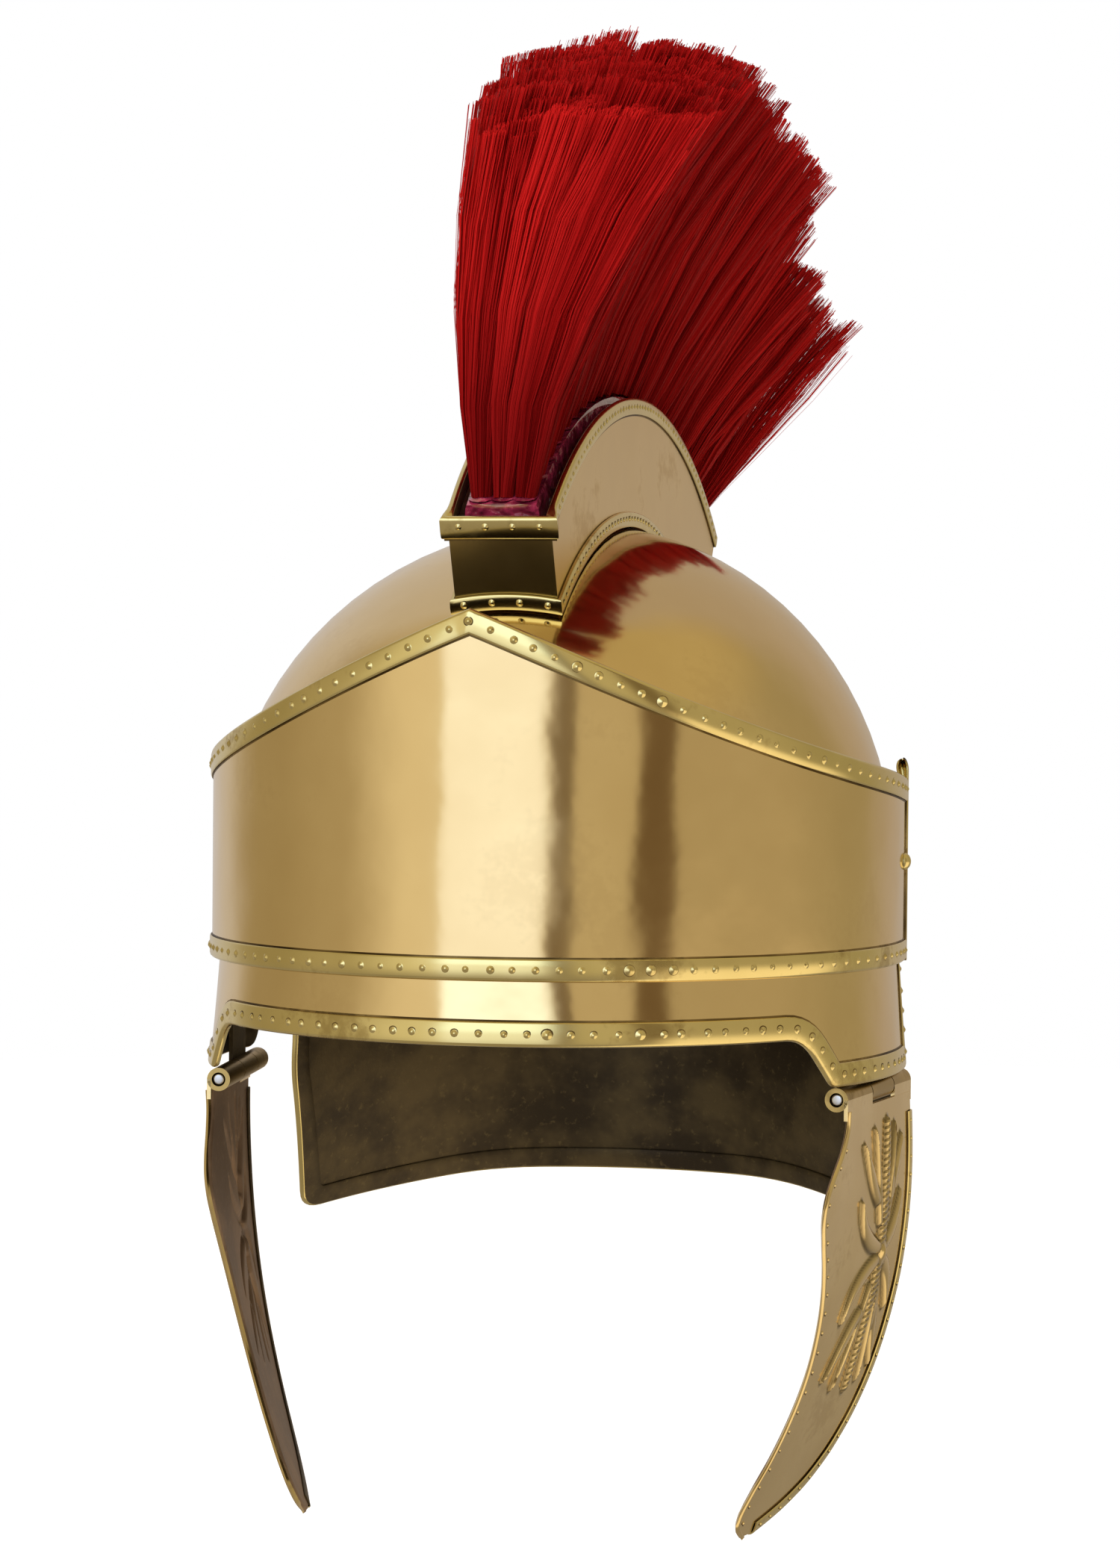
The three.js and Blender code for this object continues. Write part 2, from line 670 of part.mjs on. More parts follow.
// Locks and backing in one, cut off level with the foot of the backing
function plume() {
  const shares = baseShares(CREST_STATIONS);
  const foot = -BASE_PROUD - 2 * GAP;
  const bar = (more, low, high) => {
    const edge = (side, fromTop) => shares
      .map((s) => crestPoint(side * (baseHalf(s) + more), s, 0, null, fromTop));
    return barBody([edge(-1, low), edge(1, low), edge(1, high), edge(-1, high)], BAR_ENDS);
  };
  const backing = bar(-BACKING_INSET, foot, foot - BACKING);
  const locks = Array.from({ length: LOCK_ROWS }, (_, row) => [-1, 0, 1].map((side) => lock(row, side)));
  const below = bar(LOCK_LENGTH, foot + BACKING_CUT, foot);
  return toGeometry(joined([backing, ...locks.flat()]).subtract(toSolid(below)));
}

// Hinge frame on the wearer's left: along the pin to the rear, outwards and down
const HINGE_WAY = new THREE.Vector3(Math.sin(rad(HINGE_TURN)), Math.cos(rad(HINGE_TURN)), 0);
const HINGE_OUT = new THREE.Vector3(HINGE_WAY.y, -HINGE_WAY.x, 0);

function hingePoint(along, out, drop) {
  return new THREE.Vector3(HINGE_X, HINGE_Y, HINGE_Z - drop)
    .addScaledVector(HINGE_WAY, along)
    .addScaledVector(HINGE_OUT, out);
}

function hingeRod(radius, from, to, sides) {
  const corner = (i) => [from, to].map((along) => hingePoint(
    along,
    radius * Math.cos(i * 2 * Math.PI / sides),
    radius * Math.sin(i * 2 * Math.PI / sides),
  ));
  const lines = Array.from({ length: sides }, (_, i) => corner(i));
  const middle = [from, to].map((along) => hingePoint(along, 0, 0));
  const faces = lines.flatMap((line, i) => {
    const next = lines[(i + 1) % sides];
    return [
      [line[0], line[1], next[1], next[0]],
      [line[0], next[0], middle[0], middle[0]],
      [next[1], line[1], middle[1], middle[1]],
    ];
  });
  return bodyFromFaces(faces);
}

function hingeBlock(from, to, outLow, outHigh, dropLow, dropHigh) {
  const edge = (out, drop) => [hingePoint(from, out, drop), hingePoint(to, out, drop)];
  return barBody([
    edge(outLow, dropLow),
    edge(outHigh, dropLow),
    edge(outHigh, dropHigh),
    edge(outLow, dropHigh),
  ], BAR_ENDS);
}

function boredOut(solid) {
  const bore = hingeRod(KNUCKLE_BORE, -HINGE_END - SHEET, HINGE_END + SHEET, KNUCKLE_SIDES);
  return toGeometry(solid.subtract(toSolid(bore)));
}

function hingeLeaf() {
  const from = FRONT_KNUCKLE_END + GAP;
  const to = REAR_KNUCKLE_START - GAP;
  const knuckle = hingeRod(KNUCKLE_RADIUS, from, to, KNUCKLE_SIDES);
  const leaf = hingeBlock(from, to, LEAF_OUT - SHEET, LEAF_OUT, -LEAF_RISE, 0);
  return boredOut(joined([knuckle, leaf]));
}

function hingePin() {
  return hingeRod(PIN_RADIUS, -HINGE_END + GAP, HINGE_END - GAP, KNUCKLE_SIDES);
}

// Outer face of the cheek piece, moved out by a distance
function cheekPoint(along, drop, out) {
  const bow = CHEEK_BOW * (drop / CHEEK_BOW_DROP) ** CHEEK_BOW_POWER;
  const twist = CHEEK_TWIST * (drop / CHEEK_TWIST_DROP) ** CHEEK_TWIST_POWER;
  return hingePoint(along, KNUCKLE_RADIUS - bow + twist * along + out, drop);
}

function cheekPlate() {
  const grid = (out) => Array.from({ length: CHEEK_COLUMNS + 1 }, (_, i) => CHEEK_OUTLINE
    .map((row) => cheekPoint(mix(row.front, row.rear, i / CHEEK_COLUMNS), row.drop, out)));
  return sheetBody(grid(0), grid(-SHEET), false);
}

// One ray of the thunderbolt: a ridge along three places measured from the knob
function boltRay(ray, side, half) {
  const steps = Array.from({ length: ray.cuts + 1 }, (_, i) => i / ray.cuts);
  const bend = (list, t) => (
    2 * (t - 0.5) * (t - 1) * list[0] - 4 * t * (t - 1) * list[1] + 2 * t * (t - 0.5) * list[2]);
  const line = (edge, width, rise) => steps.map((t) => {
    const drop = BOLT_KNOB_DROP - half * bend(ray.up, t);
    const middle = lookUp(BOLT_AXIS, 'drop', drop, 'along');
    const along = middle + side * bend(ray.across, t) + edge * width * bend(ray.half, t);
    return cheekPoint(along, drop, rise);
  });
  return barBody([
    line(-1, 1, -BOLT_SINK),
    line(1, 1, -BOLT_SINK),
    line(1, BOLT_CREST_SHARE, BOLT_RISE),
    line(-1, BOLT_CREST_SHARE, BOLT_RISE),
  ], BAR_ENDS);
}

function boltKnob() {
  const middle = lookUp(BOLT_AXIS, 'drop', BOLT_KNOB_DROP, 'along');
  const ring = (row) => Array.from({ length: BOLT_KNOB_SIDES }, (_, i) => {
    const around = i * 2 * Math.PI / BOLT_KNOB_SIDES;
    return cheekPoint(
      middle + row.radius * Math.cos(around),
      BOLT_KNOB_DROP + row.radius * Math.sin(around),
      row.rise,
    );
  });
  return barBody(BOLT_KNOB_RINGS.map(ring), null);
}

function cheekPiece() {
  const places = [[-HINGE_END, FRONT_KNUCKLE_END], [REAR_KNUCKLE_START, HINGE_END]];
  const knuckles = places.flatMap(([from, to]) => [
    hingeRod(KNUCKLE_RADIUS, from, to, KNUCKLE_SIDES),
    hingeBlock(from, to, KNUCKLE_RADIUS - SHEET, KNUCKLE_RADIUS - STRAP_SINK, 0, STRAP_DROP),
  ]);
  const rays = BOLT_RAYS.flatMap((ray) => ray.sides.flatMap((side) => [1, -1]
    .map((half) => boltRay(ray, side, half))));
  return boredOut(joined([cheekPlate(), ...knuckles, ...rays, boltKnob()]));
}

// Strip along the rear edge, from below the hinge to the tip
function cheekBinding() {
  const rows = CHEEK_OUTLINE.slice(1);
  const edge = rows.map((row) => new THREE.Vector2(row.rear, row.drop));
  const lineAt = (inwards, out) => edge.map((p, i) => {
    const way = edge[Math.min(edge.length - 1, i + 1)].clone().sub(edge[Math.max(0, i - 1)]).normalize();
    const place = p.clone().addScaledVector(new THREE.Vector2(-way.y, way.x), inwards);
    return cheekPoint(place.x, place.y, out);
  });
  return foldedStrip(lineAt, CHEEK_STRIP_WIDTH, SHEET, FOLD_ENDS);
}

const helmet = new THREE.Group();
helmet.name = 'attic_helmet';

function addPiece(name, geometry, finish) {
  geometry.computeVertexNormals();
  const mesh = new THREE.Mesh(geometry, new THREE.MeshStandardMaterial(finish));
  mesh.name = name;
  helmet.add(mesh);
}

function addPair(name, geometry, finish) {
  addPiece(`${name}_left`, geometry, finish);
  addPiece(`${name}_right`, mirrored(geometry), finish);
}

addPiece('skull', skull(), BRASS);
addPiece('skull_binding', skullBinding(), BRASS);
addPiece('brow_plate', browPlate(), BRASS);
addPiece('brow_top_binding', browTopBinding(), BRASS);
addPiece('brow_foot_binding', browFootBinding(), BRASS);
addPair('brow_end_binding', browEndBinding(), BRASS);
addPair('brow_rivet', browRivet(), BRASS);
addPiece('crest_box', crestBox(), BRASS);
addPiece('crest_top_binding', crestTopBinding(), BRASS);
addPiece('crest_foot_binding', crestFootBinding(), BRASS);
addPiece('plume_base', plumeBase(), RED_PAINT);
addPiece('plume', plume(), RED_HAIR);
addPair('hinge_leaf', hingeLeaf(), BRASS);
addPair('hinge_pin', hingePin(), STEEL);
addPair('cheek_piece', cheekPiece(), BRASS);
addPair('cheek_binding', cheekBinding(), BRASS);

export default helmet;
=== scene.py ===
# %% [markdown]
# # An attic helmet in polished brass
# The helmet is a hammered skull with a peaked brow plate, hinged cheek pieces and a crest box full of
# red hair.
# The packed solids give every place in metres, so the lesson starts by loading them as a frame.
# Each visible piece is then made again with finer curves, folded strips, raised dots and real strands.

# %% Load the frame
import math

import bpy
import numpy as np
from mathutils import Matrix, Vector


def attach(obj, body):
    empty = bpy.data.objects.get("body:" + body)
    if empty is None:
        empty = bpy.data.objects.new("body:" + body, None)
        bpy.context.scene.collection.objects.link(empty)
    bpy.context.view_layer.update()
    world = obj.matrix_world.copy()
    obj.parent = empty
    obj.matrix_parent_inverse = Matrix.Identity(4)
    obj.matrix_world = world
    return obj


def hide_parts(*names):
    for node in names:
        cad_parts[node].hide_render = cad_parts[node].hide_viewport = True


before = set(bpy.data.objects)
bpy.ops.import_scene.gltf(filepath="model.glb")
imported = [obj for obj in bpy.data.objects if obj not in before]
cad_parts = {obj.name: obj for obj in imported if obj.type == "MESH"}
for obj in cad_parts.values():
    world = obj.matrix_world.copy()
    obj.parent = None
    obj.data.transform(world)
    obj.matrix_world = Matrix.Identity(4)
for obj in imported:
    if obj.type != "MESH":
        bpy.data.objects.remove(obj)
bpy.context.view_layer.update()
MM = 0.001

# %% [markdown]
# ## The camera
# A long lens stands a little to the wearer's left of the front, just above the brow.
# The view is worked out from an angle, a distance and a small tilt, so that the numbers can be read.
# A long lens keeps the near cheek piece from swelling, as a telephoto lens does in a studio.

# %% Camera
VIEW_AZIMUTH = math.radians(13.2)
VIEW_DISTANCE = 1.142
VIEW_HEIGHT = 0.076
VIEW_PITCH = math.radians(-1.35)
VIEW_ROLL = math.radians(0.52)
IMAGE_LONG_SIDE = 2100
FOCAL_PIXELS = 5000
SENSOR = 36

bpy.ops.object.select_all(action="DESELECT")
bpy.ops.object.camera_add()
camera = bpy.context.object
camera.name = "studio_camera"
camera.data.sensor_width = SENSOR
camera.data.lens = FOCAL_PIXELS / IMAGE_LONG_SIDE * SENSOR
camera.location = (
    VIEW_DISTANCE * math.sin(VIEW_AZIMUTH),
    -VIEW_DISTANCE * math.cos(VIEW_AZIMUTH),
    VIEW_HEIGHT,
)
turn = Matrix.Rotation(VIEW_AZIMUTH, 4, "Z") @ Matrix.Rotation(math.pi / 2 + VIEW_PITCH, 4, "X")
camera.rotation_euler = (turn @ Matrix.Rotation(VIEW_ROLL, 4, "Z")).to_euler()
bpy.context.scene.camera = camera
bpy.context.scene.view_settings.view_transform = "Standard"
print("lens mm:", round(camera.data.lens, 2))

# %% [markdown]
# ## Writing shaders as sums
# A node tree is easier to read when its maths looks like maths.
# `Wire` holds one socket, and its operators add Math nodes to the tree.
# `Paint.node` adds any other node: its settings come first, then the values or links of its inputs.

# %% Wire
class Wire:
    """One value in a node tree; sums and products of it add Math nodes."""

    def __init__(self, paint, socket):
        self.paint = paint
        self.socket = socket

    def math(self, operation, *values):
        return self.paint.node("ShaderNodeMath", {"operation": operation}, values)

    def __add__(self, other):
        return self.math("ADD", self, other)

    def __sub__(self, other):
        return self.math("SUBTRACT", self, other)

    def __rsub__(self, other):
        return self.math("SUBTRACT", other, self)

    def __mul__(self, other):
        return self.math("MULTIPLY", self, other)

    __radd__ = __add__
    __rmul__ = __mul__


print("Wire:", Wire.__doc__)

# %% [markdown]
# `Paint` holds a whole tree. Its short methods stand for the nodes that every finish here shares, such as
# noise by place, a soft step between two values, and a bump made from a height.

# %% Paint
class Paint:
    """The node tree of one finish or of the studio's surroundings."""

    def __init__(self, owner):
        owner.use_nodes = True
        self.tree = owner.node_tree
        self.tree.nodes.clear()

    def node(self, kind, settings=None, inputs=(), out=0):
        made = self.tree.nodes.new(kind)
        for name, value in (settings or {}).items():
            setattr(made, name, value)
        pairs = inputs.items() if isinstance(inputs, dict) else enumerate(inputs)
        for name, value in pairs:
            socket = made.inputs[name]
            if isinstance(value, Wire):
                self.tree.links.new(value.socket, socket)
            elif value is not None:
                colour = socket.type == "RGBA" and len(value) == 3
                socket.default_value = (*value, 1) if colour else value
        return Wire(self, made.outputs[out]) if len(made.outputs) else None

    def mix(self, share, low, high):
        settings = {"data_type": "RGBA"}
        return self.node("ShaderNodeMix", settings, {0: share, 6: low, 7: high}, out=2)

    def ease(self, value, low, high):
        settings = {"interpolation_type": "SMOOTHSTEP"}
        return self.node("ShaderNodeMapRange", settings, [value, low, high, 0.0, 1.0])

    def noise(self, where, scale, detail=2.0, rough=0.5, stretch=None):
        if stretch:
            where = self.node("ShaderNodeMapping", {}, {"Vector": where, "Scale": stretch})
        settings = {"noise_dimensions": "3D"}
        inputs = {"Vector": where, "Scale": scale, "Detail": detail, "Roughness": rough}
        return self.node("ShaderNodeTexNoise", settings, inputs)

    def where(self):
        """Object coordinates, which stay with a piece however it moves."""
        return self.node("ShaderNodeTexCoord", out=3)

    def attribute(self, key):
        return self.node("ShaderNodeAttribute", {"attribute_name": key}, out=2)

    def bump(self, height):
        inputs = {"Strength": 1.0, "Distance": 1.0, "Height": height}
        return self.node("ShaderNodeBump", {}, inputs)

    def coat(self, inputs):
        """The usual shader with its inputs, laid on the surface."""
        self.surface(self.node("ShaderNodeBsdfPrincipled", {}, inputs))

    def surface(self, shader):
        self.node("ShaderNodeOutputMaterial", {}, {"Surface": shader})


print("paint methods:", [name for name in vars(Paint) if not name.startswith("_")])

# %% [markdown]
# ## The studio
# Polished brass shows the room more than itself, so the surroundings matter as much as the finish.
# A room could be built from panels, but panels would stand in the way of views from other sides.
# Here the world colour changes with direction instead: a bright softbox left of the camera, a dim warm
# room to the right with two dark gaps in it, and pale paper behind the helmet.
# What the camera sees straight is plain white.

# %% Surroundings
ROOM = (0.49, 0.415, 0.27)
ROOM_FAR_LEFT = (0.4, 0.33, 0.2)
SOFTBOX = (1.2, 1.25, 1.36)
SOFTBOX_GLOW = (0.86, 0.78, 0.6)
PAPER_LEFT = (0.62, 0.58, 0.56)
PAPER_RIGHT = (0.49, 0.42, 0.35)
CEILING = (0.54, 0.44, 0.235)
ROOM_NEAR_RIGHT = (0.58, 0.5, 0.335)
ROOM_FAR_RIGHT = (0.41, 0.35, 0.215)
BELOW = (0.36, 0.31, 0.24)
LOW_LAMP = (1.25, 1.05, 0.75)
SOFTBOX_TOP = (1.5, 1.75, 2.1)
DARK_GAP = (0.17, 0.115, 0.06)
CAMERA_GAP = (0.2, 0.15, 0.09)

world = bpy.data.worlds.new("studio")
bpy.context.scene.world = world
sky = Paint(world)
way = sky.node("ShaderNodeTexCoord")
toward = (math.sin(VIEW_AZIMUTH), -math.cos(VIEW_AZIMUTH), 0)
across = (math.cos(VIEW_AZIMUTH), math.sin(VIEW_AZIMUTH), 0)


def part_of_way(axis):
    return sky.node("ShaderNodeVectorMath", {"operation": "DOT_PRODUCT"}, [way, axis], out=1)


DEGREES = 180 / math.pi
bearing = part_of_way(across).math("ARCTAN2", part_of_way(across), part_of_way(toward)) * DEGREES
rise = part_of_way((0, 0, 1))


def span(low, high, soft):
    """One between two bearings, with soft borders."""
    begun = sky.ease(bearing, low - soft, low + soft)
    return begun * (1 - sky.ease(bearing, high - soft, high + soft))


far_round = bearing.math("ABSOLUTE", bearing)
seen = sky.mix(sky.ease(bearing, -70, -110), ROOM, ROOM_FAR_LEFT)
seen = sky.mix(sky.ease(bearing, 75, 115), seen, ROOM_FAR_RIGHT)
seen = sky.mix(span(7, 30, 1), seen, ROOM_NEAR_RIGHT)
seen = sky.mix(span(-62, -1, 14), seen, SOFTBOX_GLOW)
low_enough = 1 - sky.ease(rise, 0.45, 0.6)
softbox = sky.mix(sky.ease(rise, 0.02, 0.06), SOFTBOX, SOFTBOX_TOP)
seen = sky.mix(span(-38, 0, 2.5) * low_enough, seen, softbox)
seen = sky.mix(span(1.5, 7.5, 1.2), seen, CAMERA_GAP)
seen = sky.mix(span(29, 41, 2), seen, DARK_GAP)
seen = sky.mix(sky.ease(rise, 0.55, 0.85), seen, CEILING)
paper = sky.mix(sky.ease(part_of_way(across), -0.2, 0.2), PAPER_LEFT, PAPER_RIGHT)
seen = sky.mix(sky.ease(far_round, 118, 146), seen, paper)
seen = sky.mix(sky.ease(rise, -0.12, -0.45), seen, BELOW)
seen = sky.mix(span(38, 105, 8) * sky.ease(rise, -0.06, -0.2), seen, LOW_LAMP)
light_path = sky.node("ShaderNodeLightPath")
seen = sky.mix(light_path, seen, (1, 1, 1))
shine = sky.node("ShaderNodeBackground", {}, {"Color": seen, "Strength": 1.0})
sky.node("ShaderNodeOutputWorld", {}, {"Surface": shine})
print("studio nodes:", len(sky.tree.nodes))

# %% [markdown]
# A wide pale disc is the floor, just below the tips of the cheek pieces.
# It glows a little, like a lit table, so that it stays pale below the helmet.
# Two large lamps light the hair; the lamps and the floor are kept out of the mirror of the brass.

# %% Floor and lamps
FLOOR_HEIGHT = -0.2
bpy.ops.object.select_all(action="DESELECT")
bpy.ops.mesh.primitive_circle_add(
    vertices=96, radius=1.7, fill_type="NGON", location=(0, 0, FLOOR_HEIGHT))
floor = bpy.context.object
floor.name = "floor"
bpy.ops.object.transform_apply(location=True, rotation=True, scale=True)
floor_paint = bpy.data.materials.new("pale_floor")
Paint(floor_paint).coat({
    "Base Color": (0.55, 0.55, 0.57), "Roughness": 0.9,
    "Emission Color": (1, 1, 1), "Emission Strength": 0.75,
})
floor.data.materials.append(floor_paint)
floor.visible_glossy = False


LAMP_AIM = Vector((0, 0, 0.12))


def add_lamp(name, place, size, watts):
    bpy.ops.object.light_add(type="AREA", location=place)
    lamp = bpy.context.object
    lamp.name = name
    lamp.data.size = size
    lamp.data.energy = watts
    lamp.rotation_euler = (LAMP_AIM - Vector(place)).to_track_quat("-Z", "Y").to_euler()
    lamp.visible_camera = False
    lamp.visible_glossy = False


add_lamp("lamp_front_left", (-0.45, -1.5, 0.8), 0.8, 28)
add_lamp("lamp_front_right", (1.3, -1.0, 1.2), 1.0, 9)

# %% [markdown]
# ## Finishes
# The outside is polished sheet with slow hammer waves, a few faint stains and very fine rubbing marks.
# The waves are bump rather than geometry, because they are far shallower than the sheet is thick.
# The inside was never polished: it has a brown, blotched patina, and a like grime sits along the strips,
# as dirt and as painted shade in the crevices.

# %% Brass finishes
# Dirt and painted shade: colours for the foot of the relief and the rope's grooves on the cheek.
BOLT_DIRT_AND_SHADE = (0.05, 0.03, 0.01)
GROOVE_DIRT_AND_SHADE = (0.09, 0.055, 0.02)
ROPE_DEPTH = 0.00014
RUB_DEPTH = 0.0000016


def new_finish(name):
    return Paint(bpy.data.materials.new(name)), bpy.data.materials[name]


def sheet_brass(name, tones, rough, wave_depth, stain, dirt=False):
    paint, finish = new_finish(name)
    where = paint.where()
    clouds = paint.noise(where, 26, 3, 0.55)
    specks = paint.noise(where, 330, 2, 0.6)
    stains = paint.ease(clouds + specks * 0.35, 0.74, 0.9) * stain
    colour = paint.mix(paint.ease(clouds, 0.35, 0.68), tones[0], tones[1])
    colour = paint.mix(stains, colour, tones[2])
    rubbed = paint.noise(where, 300, 2, 0.6, stretch=(1, 1, 0.06))
    waves = paint.noise(where, 34, 1, 0.4)
    dents = paint.noise(where, 75, 2, 0.5)
    height = waves * wave_depth + dents * wave_depth * 0.12 + rubbed * RUB_DEPTH
    # Dirt and painted shade darken the foot of the relief and the rope's grooves.
    if dirt:
        caught_dirt_and_shade, rope, twist = (paint.attribute(key) for key in ("dirt", "rope", "twist"))
        twisted = rope * twist.math("SINE", twist)
        colour = paint.mix(caught_dirt_and_shade * 0.85, colour, BOLT_DIRT_AND_SHADE)
        colour = paint.mix(paint.ease(twisted, -0.2, -0.9) * 0.6, colour, GROOVE_DIRT_AND_SHADE)
        height = height + twisted * ROPE_DEPTH
    paint.coat({
        "Base Color": colour, "Metallic": 1.0, "Normal": paint.bump(height),
        "Roughness": rough + clouds * 0.05 + stains * 0.2,
    })
    return finish


POLISHED = ((0.80, 0.61, 0.315), (0.84, 0.65, 0.345), (0.52, 0.34, 0.14))
YELLOW = ((0.72, 0.595, 0.26), (0.82, 0.685, 0.32), (0.4, 0.28, 0.09))
SATIN = ((0.74, 0.57, 0.28), (0.82, 0.65, 0.34), (0.42, 0.28, 0.1))
# Dull brass; on the leaf's knuckle its darkness also paints shade.
DULL_AND_SHADED = ((0.4, 0.28, 0.095), (0.52, 0.37, 0.14), (0.2, 0.13, 0.04))
polished_brass = sheet_brass("polished_brass", POLISHED, 0.085, 0.0007, 0.12)
crest_brass = sheet_brass("crest_brass", POLISHED, 0.27, 0.0003, 0.35)
dull_and_shaded_brass = sheet_brass("dull_and_shaded_brass", DULL_AND_SHADED, 0.3, 0.0003, 0.5)
strip_brass = sheet_brass("strip_brass", YELLOW, 0.16, 0.0003, 0.6)
cheek_brass = sheet_brass("cheek_brass", SATIN, 0.13, 0.0005, 0.3, dirt=True)


def inside_patina(name, tones):
    paint, finish = new_finish(name)
    where = paint.where()
    blotches = paint.noise(where, 34, 4, 0.62)
    grains = paint.noise(where, 420, 3, 0.65)
    colour = paint.mix(paint.ease(blotches, 0.36, 0.66), tones[0], tones[1])
    colour = paint.mix(paint.ease(grains, 0.56, 0.75) * 0.6, colour, tones[2])
    bump = paint.bump(grains * 0.00008 + blotches * 0.0004)
    rough = 0.42 + blotches * 0.2
    paint.coat({"Base Color": colour, "Metallic": 0.55, "Roughness": rough, "Normal": bump})
    return finish


DARK_BROWN = ((0.03, 0.018, 0.005), (0.09, 0.06, 0.02), (0.13, 0.09, 0.03))
SATIN_BROWN = ((0.17, 0.105, 0.06), (0.28, 0.175, 0.1), (0.34, 0.22, 0.12))
# Grime is dirt with painted shade, for the crevices beside the strips and round the dots.
GRIME_AND_SHADE = ((0.06, 0.034, 0.01), (0.38, 0.26, 0.1), (0.03, 0.018, 0.006))
brown_patina = inside_patina("brown_patina", DARK_BROWN)
cheek_patina = inside_patina("cheek_patina", SATIN_BROWN)
strip_grime_and_shade = sheet_brass("strip_grime_and_shade", GRIME_AND_SHADE, 0.4, 0.0002, 0.6)
print("brass finishes:", [m.name for m in bpy.data.materials if "brass" in m.name])

# %% [markdown]
# The pins are drawn steel wire, the block under the hair is thickly painted, and the hair is dyed.
# Each strand carries two numbers in its mesh: its tone, which also holds painted light and shade by row,
# and a light share, whose painted shade darkens the roots; neighbours differ without a texture.

# %% Steel, paint and hair
STEEL = ((0.5, 0.5, 0.51), (0.75, 0.75, 0.76))
LACQUER = ((0.10, 0.006, 0.018), (0.26, 0.02, 0.055))
HAIR_TONES = ((0.22, 0.002, 0.0025), (0.56, 0.013, 0.012))
HAIR_SHADE = (0.12, 0.002, 0.0025)
HAIR_GLOW = 0.35


def drawn_steel(name):
    paint, finish = new_finish(name)
    marks = paint.noise(paint.where(), 900, 2, 0.6)
    colour = paint.mix(marks, *STEEL)
    paint.coat({"Base Color": colour, "Metallic": 1.0, "Roughness": 0.25 + marks * 0.15})
    return finish


def red_lacquer(name):
    paint, finish = new_finish(name)
    where = paint.where()
    drips = paint.noise(where, 190, 2, 0.5)
    dust = paint.noise(where, 700, 3, 0.6)
    paint.coat({
        "Base Color": paint.mix(paint.ease(drips, 0.35, 0.7), *LACQUER),
        "Roughness": 0.1 + dust * 0.1, "Coat Weight": 1.0, "Coat IOR": 2.4,
        "Normal": paint.bump(drips * 0.004 + dust * 0.0001),
    })
    return finish


def dyed_and_shaded_hair(name):
    paint, finish = new_finish(name)
    # The tone holds painted light and shade by row as well as random tone.
    colour = paint.mix(paint.attribute("tone"), *HAIR_TONES)
    # Painted shade: the roots are darkened towards HAIR_SHADE by the light share.
    shaded = 1 - paint.ease(paint.attribute("light"), 0.0, 0.75)
    colour = paint.mix(shaded * 0.85, colour, HAIR_SHADE)
    face = paint.node("ShaderNodeBsdfPrincipled", {}, {
        "Base Color": colour, "Roughness": 0.45,
        "Specular IOR Level": 0.16, "Specular Tint": (1, 0.2, 0.17),
    })
    glow = paint.node("ShaderNodeBsdfTranslucent", {}, {"Color": colour})
    paint.surface(paint.node("ShaderNodeMixShader", {}, [HAIR_GLOW, face, glow]))
    return finish


pin_steel = drawn_steel("pin_steel")
block_paint = red_lacquer("block_paint")
plume_dye_and_shade = dyed_and_shaded_hair("plume_dye_and_shade")
print("soft finishes:", block_paint.name, plume_dye_and_shade.name)

# %% [markdown]
# ## Laying a sheet on a surface
# Sheet metal starts flat, so each plate starts as a flat grid, with its points then laid on the plate's
# surface. Curved surfaces given by a rule can't be reached by hand-made extrusions, and a mirror finish
# shows every lump, so the rule places the points and Solidify gives the wall its thickness.

# %% Picking and editing
def start_clean():
    if bpy.context.object and bpy.context.object.mode != "OBJECT":
        bpy.ops.object.mode_set(mode="OBJECT")
    bpy.ops.object.select_all(action="DESELECT")


def pick(piece):
    start_clean()
    piece.select_set(True)
    bpy.context.view_layer.objects.active = piece


def points_of(piece):
    flat = np.empty(len(piece.data.vertices) * 3)
    piece.data.vertices.foreach_get("co", flat)
    return flat.reshape(-1, 3)


def set_points(piece, points):
    piece.data.vertices.foreach_set("co", np.ascontiguousarray(points).ravel())
    piece.data.update()


def edit_all(piece, *steps):
    """Takes steps in edit mode, one by one, with all of a piece selected."""
    pick(piece)
    bpy.ops.object.mode_set(mode="EDIT")
    bpy.ops.mesh.select_all(action="SELECT")
    for step in steps:
        step()
    bpy.ops.object.mode_set(mode="OBJECT")


def of_faces(mesh, key, size):
    values = np.empty(len(mesh.polygons) * size)
    mesh.polygons.foreach_get(key, values)
    return values.reshape(-1, size)


print("work starts in mode:", bpy.context.mode)

# %% [markdown]
# Doubles are merged before a sheet gets its wall, because a seam that is still open would get a rim
# across it. The sheet's faces are then turned away from a point inside it, all at once: a recalculation
# by itself can't tell the inside of an open sheet.

# %% Sheets
def weld_outwards(piece, inside):
    edit_all(piece, lambda: bpy.ops.mesh.remove_doubles(threshold=1e-6))
    away = of_faces(piece.data, "center", 3) - np.array(inside) * MM
    outwards = (away * of_faces(piece.data, "normal", 3)).sum(1)
    if (of_faces(piece.data, "area", 1)[:, 0] * outwards).sum() < 0:
        edit_all(piece, bpy.ops.mesh.flip_normals)


def lay_sheet(name, columns, rows, place, inside):
    """A grid of columns by rows; place(u, v) gives its points in mm, with u and v from 0 to 1."""
    start_clean()
    bpy.ops.mesh.primitive_grid_add(x_subdivisions=columns, y_subdivisions=rows, size=1)
    sheet = bpy.context.object
    sheet.name = sheet.data.name = name
    flat = points_of(sheet) + 0.5
    set_points(sheet, place(flat[:, 0], flat[:, 1]) * MM)
    weld_outwards(sheet, inside)
    return sheet


